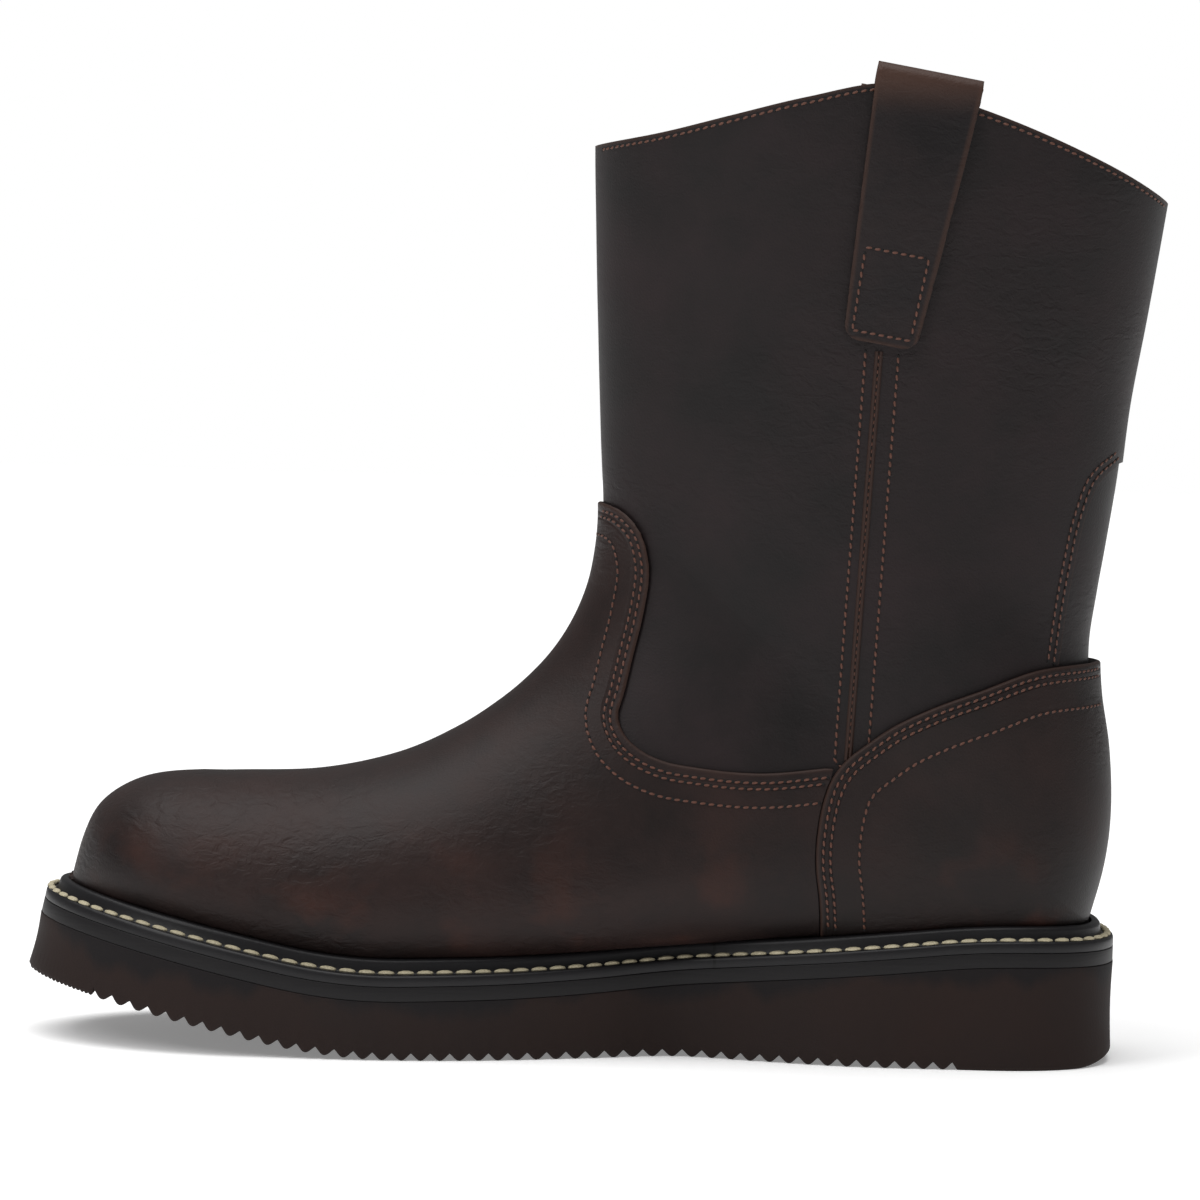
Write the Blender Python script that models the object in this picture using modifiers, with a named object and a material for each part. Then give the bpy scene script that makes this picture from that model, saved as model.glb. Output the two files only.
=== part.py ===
"""Work boot: a pull-on boot on a storm-welted wedge sole, a right boot, as separate pieces.

Metres, +Z up, +X from heel to toe, +Y to the medial side. The origin is on the floor under the heel.
Stations along the sole are measured along its tread from the back, heights square to the tread.
"""

import math
from collections import namedtuple

import bmesh
import bpy
import numpy as np

# Sole
SOLE_LENGTH = 0.3095  # along the tread
BALL_WIDTH = 0.111
HEEL_WIDTH = 0.080
HEEL_CENTRE = 0.038  # from the back of the sole to the origin
HEEL_THICKNESS = 0.0284
BALL_THICKNESS = 0.0164
TOE_SPRING = math.radians(12)
SPRING_START = 0.2005
SPRING_BEND = 0.040
HEEL_CAP = 0.040  # length of the rounding at the back of the outline
TOE_CAP_MEDIAL = 0.068
TOE_CAP_LATERAL = 0.093
HEEL_SQUARENESS = 2.4
TOE_SQUARENESS = 2.0
HEEL_EDGE_RISE = 0.0030  # bevel under the back of the heel
HEEL_EDGE_LENGTH = 0.012
MIDSOLE = 0.0041
WELT = 0.0032
WELT_EDGE = 0.0005  # the welt and the midsole stand back from the outsole's edge
WELT_EXTENSION = 0.009
RIDGE = 0.0038
RIDGE_WIDTH = 0.0026
INSOLE = 0.0035
TREAD_START = 0.047
TREAD_END = 0.288
LUG_PITCH = 0.00535
LUG_DEPTH = 0.0020
LUG_FLAT = 0.0024

# Upper
WALL = 0.0022
VAMP = 0.0013
COUNTER = 0.0021
INSERT_STEP = 0.0010
GAP = 0.0003
TOE_HEIGHT = 0.034
INSTEP_HEIGHT = 0.110
FRONT_HEIGHT = 0.225
BACK_HEIGHT = 0.202
COLLAR_PEAK = 0.2323
COLLAR_DIP = 0.030
FOOT_WIDTH = BALL_WIDTH - 2 * WELT_EXTENSION
HEEL_SEAT_WIDTH = HEEL_WIDTH - 0.006
ANKLE_WIDTH = 0.076
SHAFT_WIDTH = 0.094
TONGUE_HEIGHT = 0.1253
COUNTER_HEIGHT = 0.0733
INSERT_HEIGHT = 0.1295
LOWER_ROUNDNESS = 2.2
CUP_SECTIONS = 5  # the leg's sections over which the heel's cup goes over into plain rings
LEAST_SWELL = 0.0006

# Pull straps and side seams
STRAP_TOP_WIDTH = 0.029
STRAP_FOOT_WIDTH = 0.0200
STRAP_THICKNESS = 0.0020
STRAP_TOP = 0.024  # station of the strap's middle, from the origin, at the collar
STRAP_FOOT = 0.0352
STRAP_DROP = 0.0713
STRAP_INSIDE_DROP = 0.050
STRAP_LOOP = 0.0040
SEAM_FOOT = 0.0402
SEAM_FOOT_HEIGHT = 0.052
SEAM_WIDTH = 0.0022
SEAM_RISE = 0.0009

# What lies between the upper and the welt: the vamp and its two gaps
LAYERS = VAMP + 2 * GAP
COUNTER_PROUD = COUNTER - VAMP
WELD = 1e-6

OutlineRow = namedtuple("OutlineRow", "along of medial lateral")
OUTLINE = (
    OutlineRow(0.13, HEEL_WIDTH, 0.490, 0.505),
    OutlineRow(0.25, HEEL_WIDTH, 0.480, 0.500),
    OutlineRow(0.33, HEEL_WIDTH, 0.400, 0.500),
    OutlineRow(0.40, HEEL_WIDTH, 0.330, 0.515),
    OutlineRow(0.48, BALL_WIDTH, 0.320, 0.410),
    OutlineRow(0.58, BALL_WIDTH, 0.420, 0.475),
    OutlineRow(0.68, BALL_WIDTH, 0.460, 0.525),
    OutlineRow(0.78, BALL_WIDTH, 0.455, 0.520),
)

# How much of the wedge is left along the sole, and of the welt's reach past the upper
ShareRow = namedtuple("ShareRow", "along share")
WEDGE = (
    ShareRow(0.00, 1.00),
    ShareRow(0.13, 1.00),
    ShareRow(0.21, 0.81),
    ShareRow(0.32, 0.52),
    ShareRow(0.42, 0.26),
    ShareRow(0.52, 0.08),
    ShareRow(0.62, 0.00),
    ShareRow(1.00, -0.04),
)
EXTENSION = (
    ShareRow(0.00, 0.86),
    ShareRow(0.13, 0.87),
    ShareRow(0.33, 0.80),
    ShareRow(0.45, 0.80),
    ShareRow(0.62, 1.00),
    ShareRow(0.85, 1.00),
    ShareRow(1.00, 0.66),
)

# Sections of the foot, each a plane across the boot from the feather line (down, as a share of the way
# from toe to heel) to the top line (along the sole, and up as a share of a height above the feather).
# medial and lateral are half widths at the belly, which lies at the share belly of the section's height.
FootRow = namedtuple("FootRow", "down along up share of medial lateral belly crown shoulder")
FOOT = (
    FootRow(0.000, 0.9512, TOE_HEIGHT, 0.000, FOOT_WIDTH, 0.010, 0.010, 0.15, 2.00, 1.00),
    FootRow(0.008, 0.9475, TOE_HEIGHT, 0.147, FOOT_WIDTH, 0.125, 0.130, 0.15, 2.00, 1.15),
    FootRow(0.029, 0.9400, TOE_HEIGHT, 0.410, FOOT_WIDTH, 0.230, 0.240, 0.20, 2.00, 1.40),
    FootRow(0.063, 0.9240, TOE_HEIGHT, 0.703, FOOT_WIDTH, 0.335, 0.350, 0.22, 2.10, 1.75),
    FootRow(0.114, 0.8805, TOE_HEIGHT, 0.988, FOOT_WIDTH, 0.420, 0.460, 0.25, 2.20, 2.00),
    FootRow(0.183, 0.8110, INSTEP_HEIGHT, 0.356, FOOT_WIDTH, 0.460, 0.520, 0.27, 2.20, 2.10),
    FootRow(0.262, 0.7302, INSTEP_HEIGHT, 0.414, FOOT_WIDTH, 0.480, 0.548, 0.28, 2.15, 2.05),
    FootRow(0.337, 0.6591, INSTEP_HEIGHT, 0.476, FOOT_WIDTH, 0.482, 0.554, 0.28, 2.10, 1.95),
    FootRow(0.413, 0.6042, INSTEP_HEIGHT, 0.545, FOOT_WIDTH, 0.465, 0.532, 0.28, 2.05, 1.85),
    FootRow(0.492, 0.5622, INSTEP_HEIGHT, 0.623, FOOT_WIDTH, 0.437, 0.500, 0.28, 2.00, 1.80),
    FootRow(0.574, 0.5331, INSTEP_HEIGHT, 0.695, FOOT_WIDTH, 0.415, 0.468, 0.27, 2.00, 1.80),
    FootRow(0.656, 0.5121, INSTEP_HEIGHT, 0.765, HEEL_SEAT_WIDTH, 0.507, 0.561, 0.26, 2.00, 1.85),
    FootRow(0.738, 0.4963, INSTEP_HEIGHT, 0.841, HEEL_SEAT_WIDTH, 0.500, 0.541, 0.26, 2.00, 1.90),
    FootRow(0.821, 0.4853, INSTEP_HEIGHT, 0.923, HEEL_SEAT_WIDTH, 0.497, 0.527, 0.27, 2.00, 1.95),
    FootRow(0.896, 0.4798, INSTEP_HEIGHT, 1.005, HEEL_SEAT_WIDTH, 0.493, 0.514, 0.29, 2.00, 2.00),
    FootRow(0.958, 0.4776, FRONT_HEIGHT, 0.529, HEEL_SEAT_WIDTH, 0.490, 0.507, 0.32, 2.00, 2.00),
    FootRow(1.000, 0.4782, FRONT_HEIGHT, 0.564, HEEL_SEAT_WIDTH, 0.489, 0.503, 0.36, 2.00, 2.00),
)

# Sections of the leg, each a closed ring from the back line to the front line.
LegRow = namedtuple("LegRow", "back rise along share of half belly")
LEG = (
    LegRow(0.0181, 0.079, 0.4798, 0.596, HEEL_SEAT_WIDTH, 0.495, 0.40),
    LegRow(0.0132, 0.153, 0.4814, 0.629, HEEL_SEAT_WIDTH, 0.501, 0.43),
    LegRow(0.0162, 0.238, 0.4827, 0.662, ANKLE_WIDTH, 0.494, 0.45),
    LegRow(0.0246, 0.317, 0.4840, 0.696, ANKLE_WIDTH, 0.503, 0.46),
    LegRow(0.0268, 0.386, 0.4853, 0.731, ANKLE_WIDTH, 0.511, 0.47),
    LegRow(0.0213, 0.455, 0.4866, 0.769, ANKLE_WIDTH, 0.521, 0.48),
    LegRow(0.0139, 0.530, 0.4882, 0.813, SHAFT_WIDTH, 0.432, 0.49),
    LegRow(0.0058, 0.619, 0.4898, 0.862, SHAFT_WIDTH, 0.445, 0.49),
    LegRow(-0.0013, 0.723, 0.4914, 0.916, SHAFT_WIDTH, 0.459, 0.50),
    LegRow(-0.0139, 0.842, 0.4931, 0.973, SHAFT_WIDTH, 0.473, 0.50),
    LegRow(-0.0265, 0.970, 0.4944, 1.036, SHAFT_WIDTH, 0.487, 0.50),
    LegRow(-0.0470, 1.188, 0.4973, 1.147, SHAFT_WIDTH, 0.500, 0.50),
)

# The collar's rim: how far it lies below its peak, as a share of the dip, from back to front
COLLAR = (
    ShareRow(0.00, 1.00),
    ShareRow(0.08, 0.78),
    ShareRow(0.17, 0.565),
    ShareRow(0.345, 0.215),
    ShareRow(0.49, 0.00),
    ShareRow(0.645, 0.145),
    ShareRow(0.77, 0.32),
    ShareRow(0.89, 0.485),
    ShareRow(1.00, 0.59),
)

# Edges of the overlays from the side: along the sole, and up as a share of the overlay's height
EdgeRow = namedtuple("EdgeRow", "along share")
VAMP_EDGE = (
    EdgeRow(0.483, 1.000),
    EdgeRow(0.462, 0.981),
    EdgeRow(0.444, 0.937),
    EdgeRow(0.434, 0.860),
    EdgeRow(0.438, 0.740),
    EdgeRow(0.446, 0.654),
    EdgeRow(0.454, 0.567),
    EdgeRow(0.459, 0.519),
    EdgeRow(0.453, 0.480),
    EdgeRow(0.439, 0.446),
    EdgeRow(0.421, 0.422),
    EdgeRow(0.385, 0.399),
    EdgeRow(0.332, 0.378),
    EdgeRow(0.267, 0.379),
)
COUNTER_EDGE = (
    EdgeRow(0.0245, 1.000),
    EdgeRow(0.0895, 0.966),
    EdgeRow(0.136, 0.900),
    EdgeRow(0.182, 0.842),
    EdgeRow(0.217, 0.779),
    EdgeRow(0.235, 0.730),
    EdgeRow(0.2565, 0.663),
    EdgeRow(0.2665, 0.608),
    EdgeRow(0.273, 0.536),
    EdgeRow(0.278, 0.423),
    EdgeRow(0.279, 0.273),
    EdgeRow(0.275, 0.156),
    EdgeRow(0.272, 0.019),
)
INSERT_EDGE = (
    EdgeRow(0.0084, 1.000),
    EdgeRow(0.0284, 0.963),
    EdgeRow(0.0430, 0.876),
    EdgeRow(0.0517, 0.769),
    EdgeRow(0.0637, 0.554),
)
BEYOND = 0.06  # how far a cutter reaches past the boot

# Counts of points, as coarse as the shape allows
RIM_POINTS = 84
LEG_STEPS = 10
TOE_ROWS = (0.4, 1.5, 2.5, 3.5)  # sections added where the feather line turns fastest
FEATHER_CUTS, HEEL_CUTS = 1, 4  # points added to the feather line between two sections, and round the heel
HEEL_ARC = 0.022  # length of the feather line's back that takes HEEL_CUTS
SIDE_STEPS = 12
CAP_STEPS = 7


def spline(knots, values):
    """A smooth curve through the rows, with the slope of its neighbours' parabola at each of them."""
    knots = np.asarray(knots, float)
    values = np.asarray(values, float)
    steps = np.diff(knots)
    secants = np.diff(values) / steps
    slopes = np.empty_like(values)
    slopes[1:-1] = (secants[:-1] * steps[1:] + secants[1:] * steps[:-1]) / (steps[:-1] + steps[1:])
    slopes[0] = secants[0]
    slopes[-1] = secants[-1]

    def at(place):
        place = np.clip(place, knots[0], knots[-1])
        low = np.clip(np.searchsorted(knots, place, side="right") - 1, 0, len(steps) - 1)
        step = steps[low]
        t = (place - knots[low]) / step
        from_left = values[low] * (1 + 2 * t) * (1 - t) ** 2 + slopes[low] * step * t * (1 - t) ** 2
        from_right = values[low + 1] * (3 - 2 * t) * t**2 - slopes[low + 1] * step * (1 - t) * t**2
        return from_left + from_right

    return at


def column(rows, name):
    return [getattr(row, name) for row in rows]


def shares(rows):
    return spline(column(rows, "along"), column(rows, "share"))


def blend(share):
    share = np.clip(share, 0, 1)
    return share * share * (3 - 2 * share)


# Shape of the sole

MEDIAL, LATERAL = 1, -1
SIDES = (MEDIAL, LATERAL)
half_outline = {
    MEDIAL: spline(column(OUTLINE, "along"), [row.of * row.medial for row in OUTLINE]),
    LATERAL: spline(column(OUTLINE, "along"), [row.of * row.lateral for row in OUTLINE]),
}
toe_cap = {MEDIAL: TOE_CAP_MEDIAL, LATERAL: TOE_CAP_LATERAL}
wedge = shares(WEDGE)
extension_share = shares(EXTENSION)


def outline_half(station, side):
    """Half width of the sole on one side, with its rounded heel and toe."""
    heel = np.clip((HEEL_CAP - station) / HEEL_CAP, 0, 1)
    toe = np.clip((station - SOLE_LENGTH + toe_cap[side]) / toe_cap[side], 0, 1)
    rounded = (1 - heel**HEEL_SQUARENESS) ** (1 / HEEL_SQUARENESS)
    rounded = rounded * (1 - toe**TOE_SQUARENESS) ** (1 / TOE_SQUARENESS)
    return half_outline[side](station / SOLE_LENGTH) * rounded


def place(station, height):
    """The point (x, z) over a station of the tread, square to it: flat, then bent up to the toe."""
    radius = SPRING_BEND / TOE_SPRING
    angle = np.clip((station - SPRING_START) / radius, 0, TOE_SPRING)
    flat = np.minimum(station, SPRING_START)
    past = np.maximum(station - SPRING_START - SPRING_BEND, 0)
    x = flat + radius * np.sin(angle) + past * np.cos(angle) - height * np.sin(angle)
    z = radius * (1 - np.cos(angle)) + past * np.sin(angle) + height * np.cos(angle)
    return x - HEEL_CENTRE, z


def outsole_top(station):
    return BALL_THICKNESS + (HEEL_THICKNESS - BALL_THICKNESS) * wedge(station / SOLE_LENGTH)


def midsole_top(station):
    return outsole_top(station) + MIDSOLE


def welt_top(station):
    return midsole_top(station) + WELT


def ridge_top(station):
    return welt_top(station) + RIDGE


def extension(station):
    return WELT_EXTENSION * extension_share(station / SOLE_LENGTH)


def rim_point(turn):
    """A point (station, y) of the outline: turn goes round from the heel by the medial side."""
    station = SOLE_LENGTH * (1 - np.cos(turn)) / 2
    medial = np.sin(turn) >= 0
    half = np.where(medial, outline_half(station, MEDIAL), -outline_half(station, LATERAL))
    return np.stack([station, half], axis=-1)


def rim(count, inset):
    """The outline as a loop of count points, moved inwards by inset(station)."""
    turn = np.linspace(0, 2 * math.pi, count, endpoint=False)
    points = rim_point(turn)
    small = 1e-3
    tangent = rim_point(turn + small) - rim_point(turn - small)
    tangent /= np.linalg.norm(tangent, axis=1)[:, None]
    inward = np.stack([tangent[:, 1], -tangent[:, 0]], axis=1)
    return points + inward * np.broadcast_to(inset(points[:, 0]), count)[:, None]


# Shape of the upper

FEATHER = rim(1440, lambda station: extension(station) + LAYERS)
FEATHER_HALF = {MEDIAL: FEATHER[:721], LATERAL: np.concatenate([FEATHER[:1], FEATHER[720:][::-1]])}
FEATHER_HEEL, FEATHER_TOE = FEATHER[0, 0], FEATHER[720, 0]
feather_x, feather_z = place(FEATHER[:, 0], ridge_top(FEATHER[:, 0]))
FEATHER_LINE = np.stack([feather_x, FEATHER[:, 1], feather_z])
SEAT = np.stack(place(np.linspace(0, SOLE_LENGTH, 400), ridge_top(np.linspace(0, SOLE_LENGTH, 400))))
LAST_FOOT = len(FOOT) - 1
LAST_LEG = LAST_FOOT + len(LEG)


def feather_half(station, side):
    loop = FEATHER_HALF[side]
    return np.interp(station, loop[:, 0], np.abs(loop[:, 1]))


def seat_height(x):
    """Height of the welt's ridge at x, which the upper's heights are measured from."""
    return np.interp(x, SEAT[0], SEAT[1])


def above_seat(along, height):
    x = np.asarray(along) * SOLE_LENGTH - HEEL_CENTRE
    return x, seat_height(np.maximum(x, SEAT[0, 0])) + height


top_x, top_z = above_seat(
    column(FOOT, "along") + column(LEG, "along"),
    [row.up * row.share for row in FOOT] + [FRONT_HEIGHT * row.share for row in LEG],
)
heel_x, heel_z = place(FEATHER_HEEL, ridge_top(FEATHER_HEEL))
back_x = [heel_x] + [SOLE_LENGTH * row.back - HEEL_CENTRE for row in LEG]
back_z = [heel_z] + [heel_z + BACK_HEIGHT * row.rise for row in LEG]
every = np.arange(LAST_LEG + 1)
down_at = spline(every[: LAST_FOOT + 1], column(FOOT, "down"))
back_x_at = spline(every[LAST_FOOT:], back_x)
back_z_at = spline(every[LAST_FOOT:], back_z)
top_x_at = spline(every, top_x)
top_z_at = spline(every, top_z)
belly_at = {
    MEDIAL: spline(every, [row.of * row.medial for row in FOOT] + [row.of * row.half for row in LEG]),
    LATERAL: spline(every, [row.of * row.lateral for row in FOOT] + [row.of * row.half for row in LEG]),
}
belly_share_at = spline(every, column(FOOT, "belly") + column(LEG, "belly"))
BACK_LINE = back_x_at(np.linspace(LAST_FOOT, LAST_LEG, 200)), back_z_at(np.linspace(LAST_FOOT, LAST_LEG, 200))
FEATHER_CAP = HEEL_CAP - FEATHER_HEEL
crown_at = spline(every[: LAST_FOOT + 1], column(FOOT, "crown"))
shoulder_at = spline(every[: LAST_FOOT + 1], column(FOOT, "shoulder"))


def section_ends(section):
    """The section's lowest point (on the feather line or the back line) and its top point, and its station."""
    station = FEATHER_TOE + (FEATHER_HEEL - FEATHER_TOE) * down_at(section)
    foot_x, foot_z = place(station, ridge_top(station))
    on_foot = section <= LAST_FOOT
    low_x = np.where(on_foot, foot_x, back_x_at(section))
    low_z = np.where(on_foot, foot_z, back_z_at(section))
    return low_x, low_z, top_x_at(section), top_z_at(section), station


def lower_curve(widest, bottom, belly, share):
    """Half width below the belly, from a half width at the bottom."""
    n = LOWER_ROUNDNESS
    reach = belly / (1 - (bottom / widest) ** n) ** (1 / n)
    return widest * (1 - np.clip((belly - share) / reach, 0, 1) ** n) ** (1 / n)


def heel_rounding(x, z, side):
    """How far the heel's outline has filled out at x, counted from the back line at that height."""
    behind = x - np.interp(z, BACK_LINE[1], BACK_LINE[0])
    full = feather_half(FEATHER_HEEL + FEATHER_CAP, side)
    return feather_half(FEATHER_HEEL + np.clip(behind, 0, FEATHER_CAP), side) / full


def section_half(section, share, side):
    """Half width of the upper in a section, at a share of its height."""
    low_x, low_z, high_x, high_z, station = section_ends(section)
    feather = feather_half(np.maximum(station, FEATHER_HEEL + FEATHER_CAP), side)
    least = LEAST_SWELL * np.clip(feather / FOOT_WIDTH * 8, 0, 1)
    spare = belly_at[side](section) - feather
    widest = feather + (spare + np.sqrt(spare**2 + 4 * least**2)) / 2
    belly = belly_share_at(section)
    up = np.clip((share - belly) / (1 - belly), 0, 1)
    upper = widest * (1 - up ** shoulder_at(section)) ** (1 / crown_at(section))
    lower = lower_curve(widest, feather, belly, share)
    x = low_x + (high_x - low_x) * share
    z = low_z + (high_z - low_z) * share
    cupped = np.where(share > belly, upper, lower) * heel_rounding(x, z, side)
    ring = np.where(share > belly, upper, lower_curve(widest, 0 * feather, belly, share))
    return cupped + (ring - cupped) * blend((section - LAST_FOOT) / CUP_SECTIONS)


def upper_point(section, around, side):
    """A point of the outer surface: around goes from 0 at the top line to 1 at the bottom or the back."""
    low_x, low_z, high_x, high_z, _ = section_ends(section)
    share = (1 + np.cos(np.linspace(0, math.pi, 121))) / 2
    half = section_half(section, share, side)
    length = math.hypot(high_x - low_x, high_z - low_z)
    walked = np.concatenate([[0], np.cumsum(np.hypot(np.diff(half), np.diff(share) * length))])
    share = np.interp(around * walked[-1], walked, share)
    on_back_line = around == 1 and section >= LAST_FOOT
    half = 0.0 if on_back_line else section_half(section, share, side)
    return low_x + (high_x - low_x) * share, side * half, low_z + (high_z - low_z) * share


def side_half(x, z, side):
    """Half width of the leg at a place seen from the side."""
    sections = np.linspace(LAST_FOOT * 0.6, LAST_LEG, 400)
    low_x, low_z, high_x, high_z, _ = section_ends(sections)
    under = (high_z - low_z) * (x - low_x) - (high_x - low_x) * (z - low_z)
    section = np.interp(0, -under[::-1], sections[::-1])
    low_x, low_z, high_x, high_z, _ = section_ends(section)
    share = ((x - low_x) * (high_x - low_x) + (z - low_z) * (high_z - low_z)) / (
        (high_x - low_x) ** 2 + (high_z - low_z) ** 2
    )
    return float(section_half(section, share, side))


collar_drop = shares(COLLAR)
COLLAR_BACK = float(np.interp(BACK_HEIGHT, np.array(back_z) - heel_z, back_x))
COLLAR_FRONT = float(np.interp(FRONT_HEIGHT, top_z[LAST_FOOT:] - seat_height(top_x[LAST_FOOT:]), top_x[LAST_FOOT:]))


def collar_height(x):
    share = (x - COLLAR_BACK) / (COLLAR_FRONT - COLLAR_BACK)
    return heel_z + COLLAR_PEAK - COLLAR_DIP * collar_drop(share)


def collar_section(around, side):
    """The section at which a line of the upper reaches the collar's rim."""
    low, high = LAST_LEG - 4.0, float(LAST_LEG)
    for _ in range(24):
        middle = (low + high) / 2
        x, _, z = upper_point(middle, around, side)
        if z > collar_height(x):
            high = middle
        else:
            low = middle
    return low


# Meshes

boot = bpy.data.collections.new("work_boot")
cutters = bpy.data.collections.new("cutters")


def clear_scene():
    for thing in list(bpy.data.objects):
        bpy.data.objects.remove(thing, do_unlink=True)
    for group in (boot, cutters):
        bpy.context.scene.collection.children.link(group)


def material(name, colour, roughness):
    made = bpy.data.materials.new(name)
    made.use_nodes = True
    shader = made.node_tree.nodes["Principled BSDF"]
    shader.inputs["Base Color"].default_value = (*colour, 1)
    shader.inputs["Roughness"].default_value = roughness
    return made


def sheet(points):
    """A grid of faces through rows and columns of points, welded where they meet."""
    rows, columns = len(points), len(points[0])
    mesh = bmesh.new()
    bmesh.ops.create_grid(mesh, x_segments=columns - 1, y_segments=rows - 1, size=1)
    for vert in mesh.verts:
        across = round((vert.co.x + 1) / 2 * (columns - 1))
        along = round((vert.co.y + 1) / 2 * (rows - 1))
        vert.co = points[along][across]
    bmesh.ops.remove_doubles(mesh, verts=mesh.verts, dist=WELD)
    return mesh


def face_outwards(mesh):
    """Turns every face outwards, on an open shell too."""
    bmesh.ops.recalc_face_normals(mesh, faces=mesh.faces)
    mesh.normal_update()
    if sum(face.normal.y * face.calc_center_median().y * face.calc_area() for face in mesh.faces) < 0:
        bmesh.ops.reverse_faces(mesh, faces=mesh.faces)
        mesh.normal_update()


def add(name, mesh, finish, group=boot):
    face_outwards(mesh)
    data = bpy.data.meshes.new(name)
    mesh.to_mesh(data)
    mesh.free()
    data.materials.append(finish)
    made = bpy.data.objects.new(name, data)
    group.objects.link(made)
    return made


def hide(cutter):
    cutter.hide_render = True
    cutter.display_type = "WIRE"
    return cutter


def thicken(thing, thickness, offset):
    wall = thing.modifiers.new("wall", "SOLIDIFY")
    wall.thickness = thickness
    wall.offset = offset
    wall.use_even_offset = True
    return thing


def cut(thing, cutter, operation):
    step = thing.modifiers.new(operation.lower(), "BOOLEAN")
    step.operation = operation
    step.object = cutter
    step.solver = "EXACT"


def bent(loop, height):
    """The points over a loop of (station, y), at height(station) above the tread."""
    x, z = place(loop[:, 0], height(loop[:, 0]))
    return np.stack([x, loop[:, 1], z], axis=1)


def slab(name, inset, low, high, finish):
    """A flat piece of the sole with the outline moved in by inset, between two heights."""
    loop = rim(RIM_POINTS, inset)
    bottom, top = bent(loop, low), bent(loop, high)
    rows = np.stack([bottom, top])
    mesh = sheet(np.concatenate([rows, rows[:, :1]], axis=1))
    half = RIM_POINTS // 2
    for ring in (bottom, top):
        across = [[ring[index], ring[-index]] for index in range(1, half)]
        lid = sheet([[ring[0]] * 2] + across + [[ring[half]] * 2])
        join(mesh, lid)
    bmesh.ops.remove_doubles(mesh, verts=mesh.verts, dist=WELD)
    return add(name, mesh, finish)


def join(mesh, other):
    """Adds another mesh's faces to this one."""
    moved = {vert: mesh.verts.new(vert.co) for vert in other.verts}
    for face in other.faces:
        mesh.faces.new([moved[vert] for vert in face.verts])
    other.free()


# Sole

def lug_profile():
    """Stations and heights of the outsole's underside: bevelled heel, flat, sawtooth lugs, flat toe."""
    flank = (LUG_PITCH - LUG_FLAT) / 2
    turn = np.linspace(0, math.pi / 2, CAP_STEPS)
    heel = (TREAD_START - flank) * (1 - np.cos(turn))
    rise = HEEL_EDGE_RISE * (1 - np.clip(heel / HEEL_EDGE_LENGTH, 0, 1)) ** 2
    profile = list(zip(heel, rise))
    start = TREAD_START
    while start + LUG_PITCH <= TREAD_END:
        profile += [(start, LUG_DEPTH), (start + flank, 0), (start + flank + LUG_FLAT, 0)]
        start += LUG_PITCH
    profile.append((start, LUG_DEPTH))
    left = SOLE_LENGTH - start
    profile += [(start + left * math.sin(angle), 0) for angle in turn[1:]]
    return profile


def make_outsole(finish):
    rows = []
    for station, height in lug_profile():
        ring = []
        for side, level in ((MEDIAL, height), (LATERAL, height), (LATERAL, None), (MEDIAL, None)):
            x, z = place(station, outsole_top(station) if level is None else level)
            ring.append((x, side * outline_half(station, side), z))
        rows.append(ring + ring[:1])
    return add("outsole", sheet(rows), finish)


def make_midsole(finish):
    return slab(
        "midsole",
        lambda station: WELT_EDGE,
        lambda station: outsole_top(station) + GAP,
        midsole_top,
        finish,
    )


def make_insole(finish):
    insole = slab(
        "insole",
        lambda station: extension(station) + LAYERS + WALL + 3 * GAP,
        lambda station: midsole_top(station) + GAP,
        lambda station: midsole_top(station) + INSOLE,
        finish,
    )
    around = add("insole_form", upper_surface(0), finish, cutters)
    cut(insole, hide(thicken(around, WALL + GAP, -1)), "DIFFERENCE")
    return insole


def welt_inset(station):
    """Where the welt's inner face stands: clear of the vamp, and further out round the thicker counter."""
    past_counter = blend((station / SOLE_LENGTH - 0.30) / 0.06)
    return extension(station) - GAP - (COUNTER_PROUD + GAP) * (1 - past_counter)


def make_welt(finish):
    profile = (
        (0, lambda station: midsole_top(station) + GAP),
        (None, lambda station: midsole_top(station) + GAP),
        (None, welt_top),
        (RIDGE_WIDTH, welt_top),
        (RIDGE_WIDTH * 0.8, lambda station: ridge_top(station) - RIDGE / 4),
        (RIDGE_WIDTH * 0.4, ridge_top),
        (0, ridge_top),
    )
    loops = []
    for outwards, height in profile:
        if outwards is None:
            loop = rim(RIM_POINTS, lambda station: WELT_EDGE)
        else:
            loop = rim(RIM_POINTS, lambda station: welt_inset(station) - outwards)
        points = bent(loop, height)
        loops.append(np.concatenate([points, points[:1]]))
    welt = add("welt", sheet(loops + loops[:1]), finish)
    inside = add("welt_form", upper_surface(GAP), finish, cutters)
    cut(welt, hide(thicken(inside, VAMP + GAP, 1)), "DIFFERENCE")
    return welt


# Upper

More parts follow.
